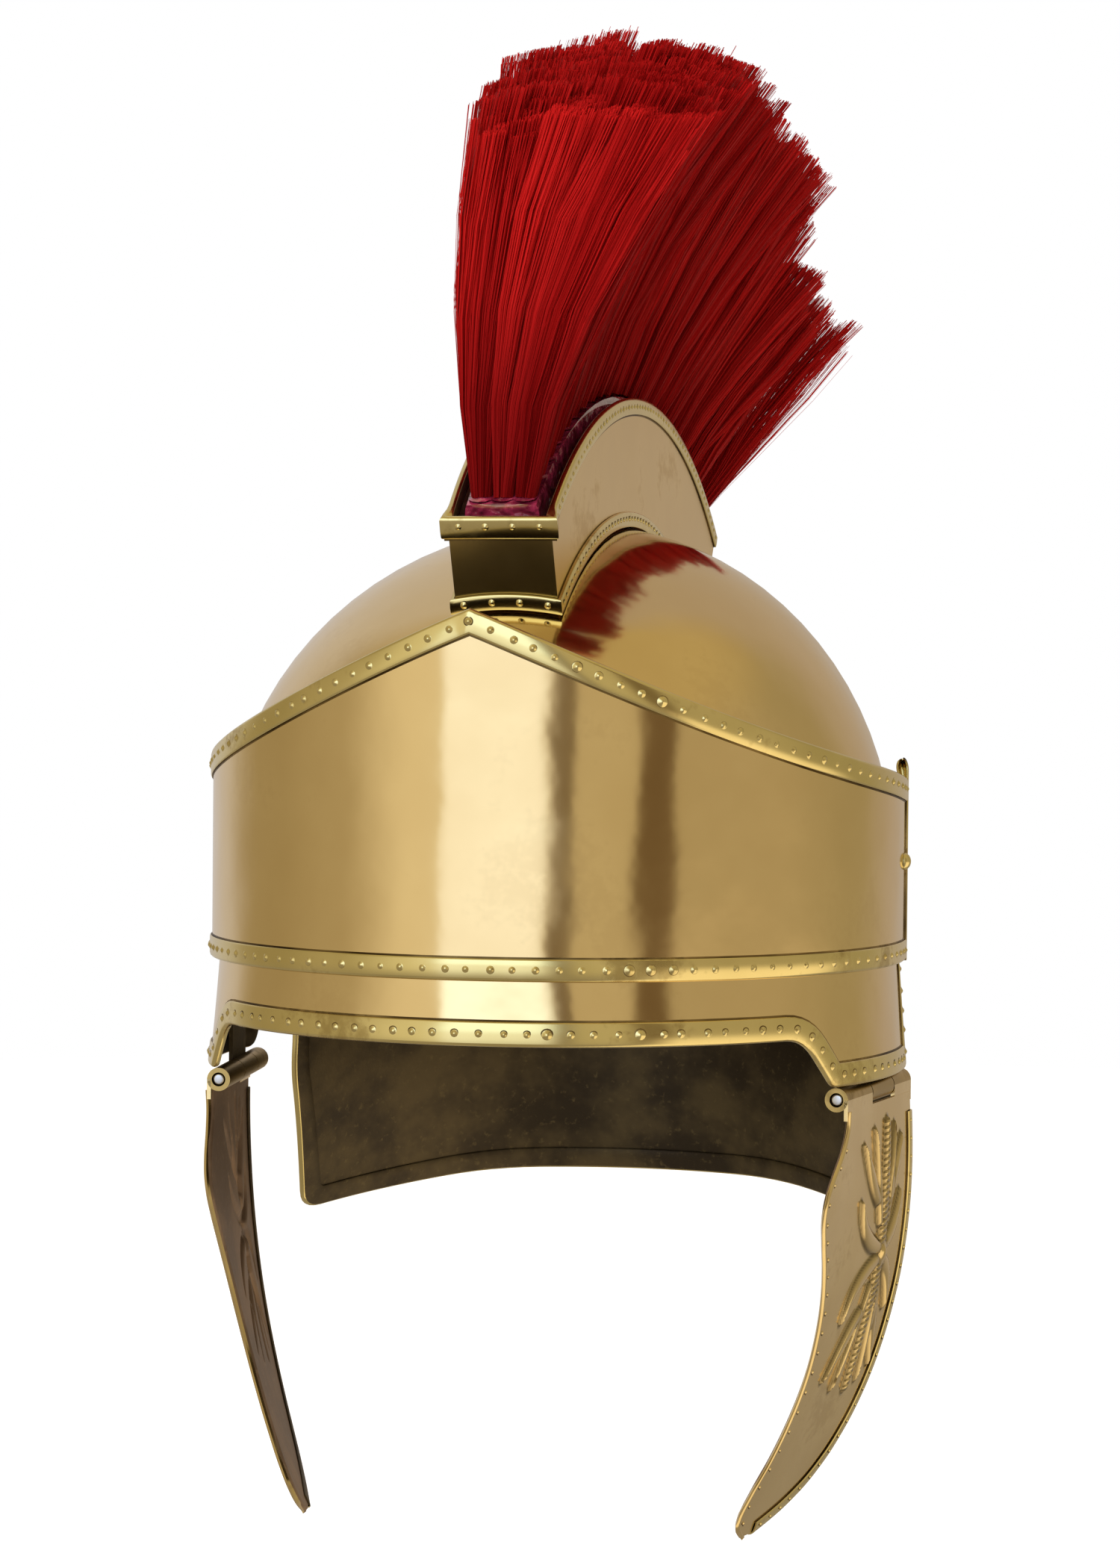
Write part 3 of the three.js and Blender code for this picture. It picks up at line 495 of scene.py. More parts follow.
def thicken(sheet, wall, finishes, shared=True):
    """Gives a sheet its wall; with shared finishes the last one goes on the inner face."""
    pick(sheet)
    for finish in finishes:
        sheet.data.materials.append(finish)
    solid = sheet.modifiers.new("wall", "SOLIDIFY")
    solid.thickness = wall * MM
    solid.offset = -1
    solid.material_offset = len(finishes) - 1 if shared else 0
    bpy.ops.object.modifier_apply(modifier="wall")
    bpy.ops.object.shade_smooth_by_angle(angle=math.radians(40))
    return sheet


print("one millimetre on a sheet is", MM, "m")

# %% [markdown]
# A finished piece takes the place of a solid and rides on the body that the solid belongs to. The helmet
# is the same on both sides, so most side pieces are made on the wearer's left, copied with their own mesh
# and turned over; that turns the faces inside out, so they are flipped.

# %% Placing pieces
def join(name, pieces):
    pick(pieces[0])
    for piece in pieces[1:]:
        piece.select_set(True)
    bpy.ops.object.join()
    joined = bpy.context.object
    joined.name = joined.data.name = name
    return joined


def carry(piece, **numbers):
    """Stores numbers on the points of a piece, for its finish to read."""
    for key, values in numbers.items():
        layer = piece.data.attributes.new(key, "FLOAT", "POINT")
        layer.data.foreach_set("value", values.astype(np.float32))


def triangles(piece):
    return sum(len(p.vertices) - 2 for p in piece.data.polygons)


def stand_for(piece, node, body):
    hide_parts(node)
    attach(piece, body)
    print(piece.name, "triangles:", triangles(piece))


def mirrored(piece, name):
    pick(piece)
    bpy.ops.object.duplicate()
    other = bpy.context.object
    other.name = other.data.name = name
    set_points(other, points_of(other) * [-1, 1, 1])
    edit_all(other, bpy.ops.mesh.flip_normals)
    return other


def stand_for_both(left, node, bodies=("helmet", "helmet")):
    """Puts the wearer's left piece in its place, and its mirror image on the right."""
    right = mirrored(left, left.name.replace("left", "right"))
    stand_for(left, node + "_left", bodies[0])
    stand_for(right, node + "_right", bodies[1])


print("solids to stand for:", len(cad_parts))

# %% [markdown]
# ## The skull
# Seen from above the skull is two half ellipses, deeper at the back.
# An upright wall, leaning out a little towards its foot, carries a dome whose crown sits behind the ears.
# The lower edge is drawn on the unrolled wall: brow rim, tab for the cheek hinge, ear notch, neck guard.

# %% Skull measures
SHEET = 1.2
SKULL_HALF_WIDTH = 101.3
SKULL_FRONT = 107.4
SKULL_BACK = 128
WALL_TOP = 26
DOME_RISE = 103.4
CROWN_BACK = 22
BROW_RIM = -20.8
WALL_LEAN = 2.7
LEAN_POWER = 1.5
TAB_FOOT = -35.3
EAR_TOP = -3
EAR_BACK = -46
NECK_FLARE = 6
NECK_CORNER = -95
NECK_MIDDLE = -85.5
SKULL_STRIP = 6.3
NECK_BENT, BENT_POWER = -4, 1.5


def plan_point(angle, out):
    turn = np.radians(angle)
    reach = np.where(np.cos(turn) > 0, SKULL_FRONT, SKULL_BACK)
    x, y = SKULL_HALF_WIDTH * np.sin(turn), -reach * np.cos(turn)
    nx, ny = x / SKULL_HALF_WIDTH ** 2, y / reach ** 2
    size = np.hypot(nx, ny)
    return x + out * nx / size, y + out * ny / size


ARC_ANGLES = np.linspace(0, 180, 1441)
arc_x, arc_y = plan_point(ARC_ANGLES, 0)
ARC_LENGTHS = np.concatenate([[0], np.cumsum(np.hypot(np.diff(arc_x), np.diff(arc_y)))])
HALF_ROUND = ARC_LENGTHS[-1]


def angle_at(arc):
    return np.sign(arc) * np.interp(np.abs(arc), ARC_LENGTHS, ARC_ANGLES)


def arc_at(angle):
    return np.sign(angle) * np.interp(np.abs(angle), ARC_ANGLES, ARC_LENGTHS)


def wall_lean(height):
    below = np.maximum(0, WALL_TOP - height) / (WALL_TOP - BROW_RIM)
    flare = np.maximum(0, TAB_FOOT - height) / (TAB_FOOT - NECK_CORNER)
    return WALL_LEAN * below ** LEAN_POWER + NECK_FLARE * flare ** 2


def wall_point(arc, height, out):
    x, y = plan_point(angle_at(arc), wall_lean(height) + out)
    low = np.clip((TAB_FOOT - height) / (TAB_FOOT - NECK_CORNER), 0, 1)
    return np.stack([x + NECK_BENT * low ** BENT_POWER, y, height + 0 * x], -1)


def dome_point(arc, share, out):
    x, y = plan_point(angle_at(arc), out)
    reach, lift = np.cos(share * np.pi / 2), np.sin(share * np.pi / 2)
    back = CROWN_BACK + (y - CROWN_BACK) * reach
    return np.stack([x * reach, back, WALL_TOP + (DOME_RISE + out) * lift], -1)


print("half way round the skull, mm:", round(float(HALF_ROUND), 1))

# %% [markdown]
# The lower edge is laid out like a paper pattern, by its corners and the size of their rounding.
# Moving the whole edge inwards by a distance gives the inner line of its strip.

# %% Lower edge of the skull
EDGE_ARCS = [0, 101, 113, 181, 192.5, 205.5, 211, 235, 300, float(HALF_ROUND)]
EDGE_HEIGHTS = [
    BROW_RIM, BROW_RIM, TAB_FOOT, TAB_FOOT, EAR_TOP, EAR_TOP, EAR_BACK,
    NECK_CORNER, NECK_MIDDLE, NECK_MIDDLE]
EDGE_ROUNDS = [0, 15, 4, 5, 6, 6, 40, 9, 200, 0]
EDGE_STEP = 2.8
ROUND_CUTS = 6
LEAST_ROUND = 0.3


def skull_edge(inwards):
    """The edge moved in by a distance, as arc and height; the number of points is always the same."""
    corners = np.stack([EDGE_ARCS, EDGE_HEIGHTS], -1)
    ways = np.diff(corners, axis=0)
    lengths = np.hypot(ways[:, 0], ways[:, 1])
    ways /= lengths[:, None]
    lefts = np.stack([-ways[:, 1], ways[:, 0]], -1)
    last = len(corners) - 1
    moved = []
    for i, corner in enumerate(corners):
        before, after = lefts[max(0, i - 1)], lefts[min(last - 1, i)]
        middle = (before + after) / np.linalg.norm(before + after)
        moved.append(corner + middle * inwards / (middle @ before))
    points = [moved[0]]
    start_from = moved[0]
    for i in range(1, last + 1):
        way, onward = ways[i - 1], ways[min(last - 1, i)]
        cross = way[0] * onward[1] - way[1] * onward[0]
        bend = math.acos(np.clip(way @ onward, -1, 1))
        round_size = max(LEAST_ROUND, EDGE_ROUNDS[i] + (-inwards if cross > 0 else inwards))
        trim = 0 if i == last else round_size * math.tan(bend / 2)
        stop = moved[i] - way * trim
        cuts = max(1, math.ceil(lengths[i - 1] / EDGE_STEP))
        points += [start_from + (stop - start_from) * k / cuts for k in range(1, cuts + 1)]
        start_from = moved[i] + onward * trim
        if i < last:
            for k in range(1, ROUND_CUTS + 1):
                t = k / ROUND_CUTS
                first = stop + (moved[i] - stop) * t
                points.append(first + (moved[i] + (start_from - moved[i]) * t - first) * t)
    half = np.array(points)
    return np.concatenate([half, half[-2:0:-1] * [-1, 1]])


EDGE_COUNT = len(skull_edge(0))
print("points along the skull's edge:", EDGE_COUNT)

# %% [markdown]
# The skull is one sheet from the edge to the crown, so it is one grid: a row along the edge, then the
# wall, then the dome. A sphere could be cut to this shape, but its points wouldn't follow the edge.

# %% Skull sheet
EDGE_ROWS = 1
WALL_ROWS = 8
DOME_ROWS = 20
skull_rows = EDGE_ROWS + WALL_ROWS + DOME_ROWS


def skull_place(u, v):
    column = np.rint(u * EDGE_COUNT).astype(int) % EDGE_COUNT
    row = v * skull_rows
    rim, seam = skull_edge(0)[column], skull_edge(SKULL_STRIP)[column]
    edge_share = np.clip(row / EDGE_ROWS, 0, 1)
    arc = rim[:, 0] + (seam[:, 0] - rim[:, 0]) * edge_share
    height = rim[:, 1] + (seam[:, 1] - rim[:, 1]) * edge_share
    wall_share = np.clip((row - EDGE_ROWS) / WALL_ROWS, 0, 1)
    height = height + (WALL_TOP - height) * wall_share
    dome_share = np.clip((row - EDGE_ROWS - WALL_ROWS) / DOME_ROWS, 0, 1)
    on_dome = (dome_share > 0)[:, None]
    return np.where(on_dome, dome_point(seam[:, 0], dome_share, 0), wall_point(arc, height, 0))


skull = lay_sheet("skull_sheet", EDGE_COUNT, skull_rows, skull_place, (0, CROWN_BACK, 0))
thicken(skull, SHEET, [polished_brass, brown_patina])
stand_for(skull, "skull", "helmet")

# %% [markdown]
# ## Folded strips and raised dots
# Every raw edge is covered by a thin strip folded over it, with a row of dots punched out from behind.
# A strip is a grid again: along the edge one way, and round the fold the other way.
# The first two rows lie on the plate beside the strip and take the grime: dirt, and painted shade in the
# crevice under the strip's edge.

# %% Folded strips
STRIP_SKIN = 0.7
STRIP_SHEET = 0.4
DIRT_AND_SHADE_WIDTH = 0.55
DIRT_AND_SHADE_ROWS = 2
BACK_ROWS = 4


def fold_section(width, sheet):
    """Distances in from the edge and out of the face, from the front leaf round the fold to the back."""
    back = -sheet - STRIP_SKIN
    middle, bulge = (STRIP_SKIN + back) / 2, (STRIP_SKIN - back) / 2
    # Rows on the plate beside the strip, for dirt with painted shade in the crevice.
    dirt = [(width + DIRT_AND_SHADE_WIDTH, 0.04), (width + 0.02, 0.05)]
    front = [
        (width, 0.42), (width - 0.18, 0.6), (width - 0.5, STRIP_SKIN), (width * 0.6, STRIP_SKIN + 0.05)]
    turns = np.linspace(0, np.pi, 7)
    fold = [(0.35 - 1.05 * math.sin(t), middle + bulge * math.cos(t)) for t in turns]
    rear = [(width * 0.6, back), (width - 0.4, back), (width, back + 0.28)]
    return np.array(dirt + front + fold + rear)


def folded_strip(name, columns, line_at, width, sheet, inside, back=brown_patina):
    section = fold_section(width, sheet)
    rows = len(section) - 1

    def place(u, v):
        row = np.rint(v * rows).astype(int)
        points = np.empty((len(u), 3))
        for k, (inwards, out) in enumerate(section):
            mine = row == k
            points[mine] = line_at(u[mine], inwards, out)
        return points

    strip = lay_sheet(name, columns, rows, place, inside)
    # Rows beside the strip take the grime: dirt with painted shade.
    kinds = np.zeros(rows, int)
    kinds[:DIRT_AND_SHADE_ROWS] = 1
    kinds[-BACK_ROWS:] = 2
    strip.data.polygons.foreach_set("material_index", np.repeat(kinds, columns))
    thicken(strip, STRIP_SHEET, [strip_brass, strip_grime_and_shade, back], shared=False)
    return strip


print("points across a folded strip:", len(fold_section(SKULL_STRIP, SHEET)))

# %% [markdown]
# One dot is modelled from a disc that is inset into rings and raised to a bell, so its skirt runs flat
# into the strip. The outermost ring takes the grime, dirt with painted shade round the dot's foot. A
# whole row is placed in one mesh, which is quick.

# %% Dots
def dot_pattern(radius, rise, sides=14, rings=4):
    start_clean()
    bpy.ops.mesh.primitive_circle_add(vertices=sides, radius=radius * MM, fill_type="NGON")
    disc = bpy.context.object
    ring = radius * MM / (rings + 0.6)
    edit_all(disc, *[lambda: bpy.ops.mesh.inset(thickness=ring)] * rings)
    points = points_of(disc) / MM
    away = np.hypot(points[:, 0], points[:, 1]) / radius
    points[:, 2] = rise * 0.5 * (1 + np.cos(np.pi * np.minimum(1, away)))
    faces = [list(p.vertices) for p in disc.data.polygons]
    bpy.data.objects.remove(disc)
    return points, faces


def placed(name, mesh):
    piece = bpy.data.objects.new(name, mesh)
    bpy.context.collection.objects.link(piece)
    pick(piece)
    bpy.ops.object.shade_smooth()
    return piece


def scatter(name, pattern, places, normals, sizes, finish, rim=None):
    points, faces = pattern
    normals = normals / np.linalg.norm(normals, axis=1, keepdims=True)
    side = np.cross(normals, [0.02, 0.03, 1.0])
    side /= np.linalg.norm(side, axis=1, keepdims=True)
    axes = np.stack([side, np.cross(normals, side), normals], 1)
    scaled = points[None] * np.asarray(sizes)[:, None, None]
    turned = sum(scaled[..., k : k + 1] * axes[:, None, k] for k in range(3))
    all_points = (turned + places[:, None]).reshape(-1, 3) * MM
    all_faces = [[c + k * len(points) for c in face] for k in range(len(places)) for face in faces]
    mesh = bpy.data.meshes.new(name)
    mesh.from_pydata(all_points.tolist(), [], all_faces)
    mesh.materials.append(finish)
    # The outermost ring of each dot takes the grime: dirt with painted shade.
    if rim:
        mesh.materials.append(rim)
        centres = np.array([points[face].mean(0) for face in faces])
        outermost = np.hypot(centres[:, 0], centres[:, 1]) > RIM_SHARE * points[:, 0].max()
        kinds = np.tile(outermost.astype(np.int32), len(places))
        mesh.polygons.foreach_set("material_index", kinds)
    if of_faces(mesh, "normal", 3)[: len(faces)].sum(0) @ normals[0] < 0:
        mesh.flip_normals()
    return placed(name, mesh)


def evenly(line, spacing):
    """Shares along a line of points at which dots sit, a spacing apart."""
    steps = np.linalg.norm(np.diff(line, axis=0), axis=1)
    run = np.concatenate([[0], np.cumsum(steps)])
    count = max(2, int(round(run[-1] / spacing)))
    wanted = (np.arange(count) + 0.5) / count * run[-1]
    return np.interp(wanted, run, np.linspace(0, 1, len(line)))


DOT_SPACING = 6.5
DOT_SUNK = 0.04
DOT_SHIFT, SHIFT_LENGTH = 0.03, 400
DOT_VARIES = 0.07
SWOLLEN = 1.4
RIM_SHARE = 0.8
strip_dot = dot_pattern(1.4, 0.6)
crest_dot = dot_pattern(1.05, 0.45, sides=10, rings=3)
chance = np.random.default_rng(11)


def dots_along(name, at, spacing, finish, pattern=None, swollen=()):
    """Dots on a line: at(u) gives its points and normals; the swollen ones are larger."""
    shares = evenly(at(np.linspace(0, 1, 800))[0], spacing)
    shares = shares + chance.normal(0, DOT_SHIFT * spacing / SHIFT_LENGTH, len(shares))
    places, normals = at(np.clip(shares, 0, 1))
    sizes = chance.normal(1, DOT_VARIES, len(shares))
    sizes[list(swollen)] *= SWOLLEN
    places = places - normals * DOT_SUNK
    return scatter(name, pattern or strip_dot, places, normals, sizes, finish, strip_grime_and_shade)


def stand_bound(name, node, strip, dots):
    """Joins a strip with its dots and puts it in its place."""
    stand_for(join(name, [strip, *dots]), node, "helmet")


print("one dot has faces:", len(strip_dot[1]))

# %% [markdown]
# The skull's own strip runs all the way round the lower edge, past tabs, ears and neck.

# %% Skull binding
SKULL_DOTS_IN = 2.8


def skull_strip_line(u, inwards, out):
    points = skull_edge(inwards)[np.rint(u * EDGE_COUNT).astype(int) % EDGE_COUNT]
    return wall_point(points[:, 0], points[:, 1], out)


def skull_dot_line(u):
    left = skull_edge(SKULL_DOTS_IN)[: EDGE_COUNT // 2 + 1]
    steps = np.arange(len(left))
    share = np.where(u < 0.5, u * 2, 2 - u * 2) * steps[-1]
    arc = np.interp(share, steps, left[:, 0]) * np.where(u < 0.5, 1, -1)
    height = np.interp(share, steps, left[:, 1])
    low = wall_point(arc, height, STRIP_SKIN)
    return low, wall_point(arc, height, STRIP_SKIN + 1) - low


skull_strip = folded_strip(
    "skull_strip", EDGE_COUNT, skull_strip_line, SKULL_STRIP, SHEET, (0, 10, -20))
skull_dots = dots_along("skull_dots", skull_dot_line, DOT_SPACING, strip_brass, swollen=(3, 7))
stand_bound("skull_binding_strip", "skull_binding", skull_strip, [skull_dots])

# %% [markdown]
# ## The brow plate
# An upright band stands off the forehead and rises to a peak in the middle.
# Its top line is a short table of heights by angle, smoothed, with the peak left sharp.
# The three strips on it are folded like the skull's, and a round rivet head holds each end.

# %% Brow plate
BROW_OUT = 3.7
BROW_FOOT = -2.6
BROW_END_ANGLE = 99
BROW_STRIP = 5.7
BROW_COLUMNS = 260
BROW_TOP_ANGLES = [0, 10, 20, 30, 40, 50, 60, 70, 80, 90, 99]
BROW_TOP_HEIGHTS = [99.3, 91.9, 84.2, 77.1, 70.6, 65.1, 61.1, 57.8, 54.8, 52.6, 51]
brow_curve = np.polyfit(BROW_TOP_ANGLES, BROW_TOP_HEIGHTS, 4)
BROW_END = float(arc_at(BROW_END_ANGLE))


def brow_top(arc):
    return np.polyval(brow_curve, np.abs(angle_at(arc)))


def brow_point(arc, height, out):
    x, y = plan_point(angle_at(arc), BROW_OUT + out)
    return np.stack([x, y, height + 0 * x], -1)


def brow_place(u, v):
    arc = (u * 2 - 1) * BROW_END
    return brow_point(arc, BROW_FOOT + v * (brow_top(arc) - BROW_FOOT), 0)


brow = lay_sheet("brow_sheet", BROW_COLUMNS, 10, brow_place, (0, 0, 30))
thicken(brow, SHEET, [polished_brass, brown_patina])
stand_for(brow, "brow_plate", "helmet")

# %% [markdown]
# The long strips stop short of the ends, where the upright ones take over. Over the peak the top strip
# is crumpled a little, and a few of the dots are swollen, as if they had been punched twice.

# %% Brow strips
LONG_STRIP_END = BROW_END - BROW_STRIP - 0.3
TOP_SLOPE = 1.12
CRUMPLE, CRUMPLE_REACH = 0.5, 2.2
TOP_DOTS_IN, FOOT_DOTS_IN = 2.6, 2.7


def brow_top_line(u, inwards, out):
    arc = (u * 2 - 1) * LONG_STRIP_END
    crumple = CRUMPLE * np.exp(-(arc / CRUMPLE_REACH) ** 2) * (out > 0)
    return brow_point(arc, brow_top(arc) - inwards * TOP_SLOPE, out + crumple)


def brow_foot_line(u, inwards, out):
    arc = (u * 2 - 1) * LONG_STRIP_END
    return brow_point(arc, BROW_FOOT + inwards + 0 * arc, out)


def on_line(line, inwards):
    def at(u):
        low = line(u, inwards, STRIP_SKIN)
        return low, line(u, inwards, STRIP_SKIN + 1) - low
    return at


top_strip = folded_strip("brow_top_strip", 280, brow_top_line, BROW_STRIP, SHEET, (0, 0, 60))
top_dots = dots_along(
    "brow_top_dots", on_line(brow_top_line, TOP_DOTS_IN), DOT_SPACING, strip_brass, swollen=(34, 38))
stand_bound("brow_top_fold", "brow_top_binding", top_strip, [top_dots])
foot_strip = folded_strip(
    "brow_foot_strip", BROW_COLUMNS, brow_foot_line, BROW_STRIP, SHEET, (0, 0, 0))
foot_dots = dots_along(
    "brow_foot_dots", on_line(brow_foot_line, FOOT_DOTS_IN), DOT_SPACING, strip_brass,
    swollen=(35, 36, 37))
stand_bound("brow_foot_fold", "brow_foot_binding", foot_strip, [foot_dots])

# %% [markdown]
# The upright strips close the two ends; each stands a little above the top strip and is rounded there.
# The right one is the left one mirrored, so its normals are turned round again.

# %% Brow ends
END_FOOT = BROW_FOOT - STRIP_SKIN
LOBE_RISE = 7
LOBE_ROUND = 3.5
LOBE_MIDDLE = -1.2
LOBE_LEAST = 0.1
LOBE_OPEN, LOBE_OPEN_FROM = 1.6, 9
LOBE_DIRT_AND_SHADE_IN, LOBE_DIRT_AND_SHADE_OUT = BROW_STRIP * 0.8, 0.3
END_TOP = float(brow_top(BROW_END)) + LOBE_RISE


def brow_end_line(u, inwards, out):
    """The upright strip, whose lobe opens a little towards the dome and closes to a round end."""
    below = (1 - u) ** 2 * (END_TOP - END_FOOT)
    # At the lobe the rows of dirt and painted shade are tucked under the strip.
    if inwards > BROW_STRIP:
        inwards = np.where(below < LOBE_RISE, LOBE_DIRT_AND_SHADE_IN, inwards)
        out = np.where(below < LOBE_RISE, LOBE_DIRT_AND_SHADE_OUT, out)
    rounding = LOBE_LEAST + (1 - LOBE_LEAST) * np.sqrt(1 - (1 - np.clip(below / LOBE_ROUND, 0, 1)) ** 2)
    arc = BROW_END - BROW_STRIP / 2 - (inwards - BROW_STRIP / 2) * rounding
    opened = out - LOBE_OPEN * np.clip(1 - below / LOBE_OPEN_FROM, 0, 1) * (out < 0)
    return brow_point(arc, END_TOP - below, LOBE_MIDDLE + (opened - LOBE_MIDDLE) * rounding)


end_strip = folded_strip(
    "brow_end_strip", 60, brow_end_line, BROW_STRIP, SHEET, (60, 0, 25), strip_brass)
stand_for_both(join("brow_end_fold_left", [end_strip]), "brow_end_binding")

# %% [markdown]
# A round head shows near each end of the plate. It is half a ball, cut by bisect, flattened and turned to
# face out of the plate; a bevelled rod would show a flat top.

# %% Brow rivets
RIVET_ANGLE = 94.2
RIVET_HEIGHT = 27
RIVET_RADIUS = 2.6
RIVET_RISE = 1.9
RIVET_SEAT = 0.05
start_clean()
bpy.ops.mesh.primitive_uv_sphere_add(segments=28, ring_count=18, radius=1)
rivet = bpy.context.object
rivet.name = rivet.data.name = "brow_rivet_head_left"
edit_all(rivet, lambda: bpy.ops.mesh.bisect(
    plane_co=(0, 0, 0), plane_no=(0, 0, 1), clear_inner=True, use_fill=True))
rivet_x, rivet_y = plan_point(RIVET_ANGLE, BROW_OUT + RIVET_SEAT + np.array([0, 1]))
rivet_out = Vector((rivet_x[1] - rivet_x[0], rivet_y[1] - rivet_y[0], 0))
rivet_turn = rivet_out.to_track_quat("Z", "Y").to_matrix().to_4x4()
rivet_size = Matrix.Diagonal((RIVET_RADIUS * MM, RIVET_RADIUS * MM, (RIVET_RISE + 0.2) * MM, 1))
rivet_seat = Matrix.Translation(Vector((rivet_x[0], rivet_y[0], RIVET_HEIGHT)) * MM)
rivet.data.transform(rivet_seat @ rivet_turn @ rivet_size)
rivet.data.materials.append(strip_brass)
bpy.ops.object.shade_smooth_by_angle(angle=math.radians(40))
stand_for_both(rivet, "brow_rivet")

# %% [markdown]
# ## The crest box
# Two flaring side plates stand on the dome and are closed at both ends, like a long open trough.
# The top edge is an arc, and the foot follows the dome, so each point is measured between the two.
# The ring round the four walls is drawn once, with a sharp corner at each end, and used at several
# distances.

# %% Crest measures
CREST_SHEET = 1.0
CREST_CENTRE = np.array([32.2, -2.1])
CREST_RADIUS = 170.3
CREST_ANGLES = (-41.1, 38.6)
CREST_FOOT = (-68, 106)
CREST_HALF = (15.2, 21)
CREST_STRIP = 4.6
DOME_CLEARANCE = 0.8
CREST_DOT_SPACING = 3.6
END_DOT_SPACING = 8
END_CUTS = 16
SIDE_CUTS = 110
RING_COUNT = 2 * (END_CUTS + SIDE_CUTS)


def between(pair, share):
    return pair[0] + (pair[1] - pair[0]) * share


def dome_height(x, y):
    back = y - CROWN_BACK

    def times_out(reach):
        a = (x / SKULL_HALF_WIDTH) ** 2 + (back / reach) ** 2
        b = CROWN_BACK * back / reach ** 2
        c = (CROWN_BACK / reach) ** 2 - 1
        return (np.sqrt(b ** 2 - a * c) - b) / np.maximum(a, 1e-9)

    front = times_out(SKULL_FRONT)
    times = np.where(CROWN_BACK + back * front < 0, front, times_out(SKULL_BACK))
    return WALL_TOP + DOME_RISE * np.sqrt(np.maximum(0, 1 - 1 / times ** 2))


def crest_top(share):
    turn = np.radians(between(CREST_ANGLES, share))
    return CREST_CENTRE + CREST_RADIUS * np.stack([np.sin(turn), np.cos(turn)], -1)


def crest_point(x, share, slide, from_foot=None, from_top=None):
    """A point on a crest plate, measured from its foot or from its top, and moved along by slide."""
    top = crest_top(share)
    foot_y = between(CREST_FOOT, share)
    foot = np.stack([foot_y, dome_height(x, foot_y) + DOME_CLEARANCE], -1)
    up = top - foot
    up = up / np.linalg.norm(up, axis=-1, keepdims=True)
    start, climb = (top, -np.asarray(from_top)) if from_foot is None else (foot, np.asarray(from_foot))
    p = start + up * climb[..., None]
    p = p + np.stack([up[..., 1], -up[..., 0]], -1) * np.asarray(slide)[..., None]
    return np.stack([x + 0 * p[..., 0], p[..., 0], p[..., 1]], -1)


def crest_ring(u, out, from_foot=None, from_top=None):
    """A place on the ring by its share u: front end, left side, rear end, right side."""
    step = np.rint(u * RING_COUNT).astype(int) % RING_COUNT
    front = step < END_CUTS
    left = (step >= END_CUTS) & (step < END_CUTS + SIDE_CUTS)
    rear = (step >= END_CUTS + SIDE_CUTS) & (step < 2 * END_CUTS + SIDE_CUTS)
    share = np.select(
        [front, left, rear],
        [0.0, (step - END_CUTS) / SIDE_CUTS, 1.0],
        1 - (step - 2 * END_CUTS - SIDE_CUTS) / SIDE_CUTS,
    )
    half = between(CREST_HALF, share) + out
    side = np.select(
        [front, left, rear],
        [2 * step / END_CUTS - 1, 1.0, 1 - 2 * (step - END_CUTS - SIDE_CUTS) / END_CUTS],
        -1.0,
    )
    slide = np.where(share <= 0, -out, np.where(share >= 1, out, 0.0))
    return crest_point(side * half, share, slide, from_foot, from_top)


print("crest ring points:", RING_COUNT)

# %% [markdown]
# The walls are one sheet that goes once round the ring. The front end looks duller than the sides, so its
# faces have a finish of their own.

# %% Crest box
CREST_ROWS = 12


def crest_wall_place(u, v):
    foot = crest_ring(u, 0, from_foot=np.zeros_like(u))
    top = crest_ring(u, 0, from_top=np.zeros_like(u))
    return foot + (top - foot) * v[:, None]


crest = lay_sheet("crest_walls", RING_COUNT, CREST_ROWS, crest_wall_place, (0, 30, 120))
front_faces = np.tile(np.arange(RING_COUNT) < END_CUTS, CREST_ROWS)
crest.data.polygons.foreach_set("material_index", front_faces.astype(int))
thicken(crest, CREST_SHEET, [crest_brass, dull_and_shaded_brass], shared=False)
stand_for(crest, "crest_box", "helmet")

# %% [markdown]
# A folded strip runs round the top edge, wider at the front and pulled out at its two front corners.
# A flat band covers the foot. The dots on the long sides are finer and closer than those on the ends.

# %% Crest strips
FRONT_STRIP_WIDER = 0.3
FRONT_FLARE = 0.09
FLARE_CUTS = 1.6
TOP_DOTS_DOWN, FOOT_DOTS_UP, FOOT_DOTS_OUT = 2.2, 2.4, 1.35
FOUR_SIDES = [(1, None), (-1, None), (0, 0.0), (0, 1.0)]


def crest_top_line(u, inwards, out):
    step = np.rint(u * RING_COUNT) % RING_COUNT
    wider = 1 + FRONT_STRIP_WIDER * (step <= END_CUTS) * (inwards > 1) * (out > 0)
    points = crest_ring(u, out, from_top=inwards * wider)
    from_corner = np.minimum(np.minimum(step, RING_COUNT - step), np.abs(step - END_CUTS))
    points[:, 0] *= 1 + FRONT_FLARE * np.exp(-(from_corner / FLARE_CUTS) ** 2) * (out > -0.5)
    return points


def crest_dots(name, from_foot, from_top, out):
    """Rows of dots on the two sides, given by side, and on the two ends, given by their share."""
    parts = []
    for k, (side, end) in enumerate(FOUR_SIDES):
        def at(u, side=side, end=end):
            def reach(more):
                if end is None:
                    return crest_point(
                        side * (between(CREST_HALF, u) + out + more), u, 0 * u, from_foot, from_top)
                slide = np.full_like(u, (out + more) * (1 if end else -1))
                x = (2 * u - 1) * (between(CREST_HALF, end) + out)
                return crest_point(x, np.full_like(u, end), slide, from_foot, from_top)
            return reach(0), reach(1) - reach(0)
        long_side = end is None
        pattern, spacing = (crest_dot, CREST_DOT_SPACING) if long_side else (strip_dot, END_DOT_SPACING)
        parts.append(dots_along(f"{name}_{k}", at, spacing, strip_brass, pattern))
    return parts


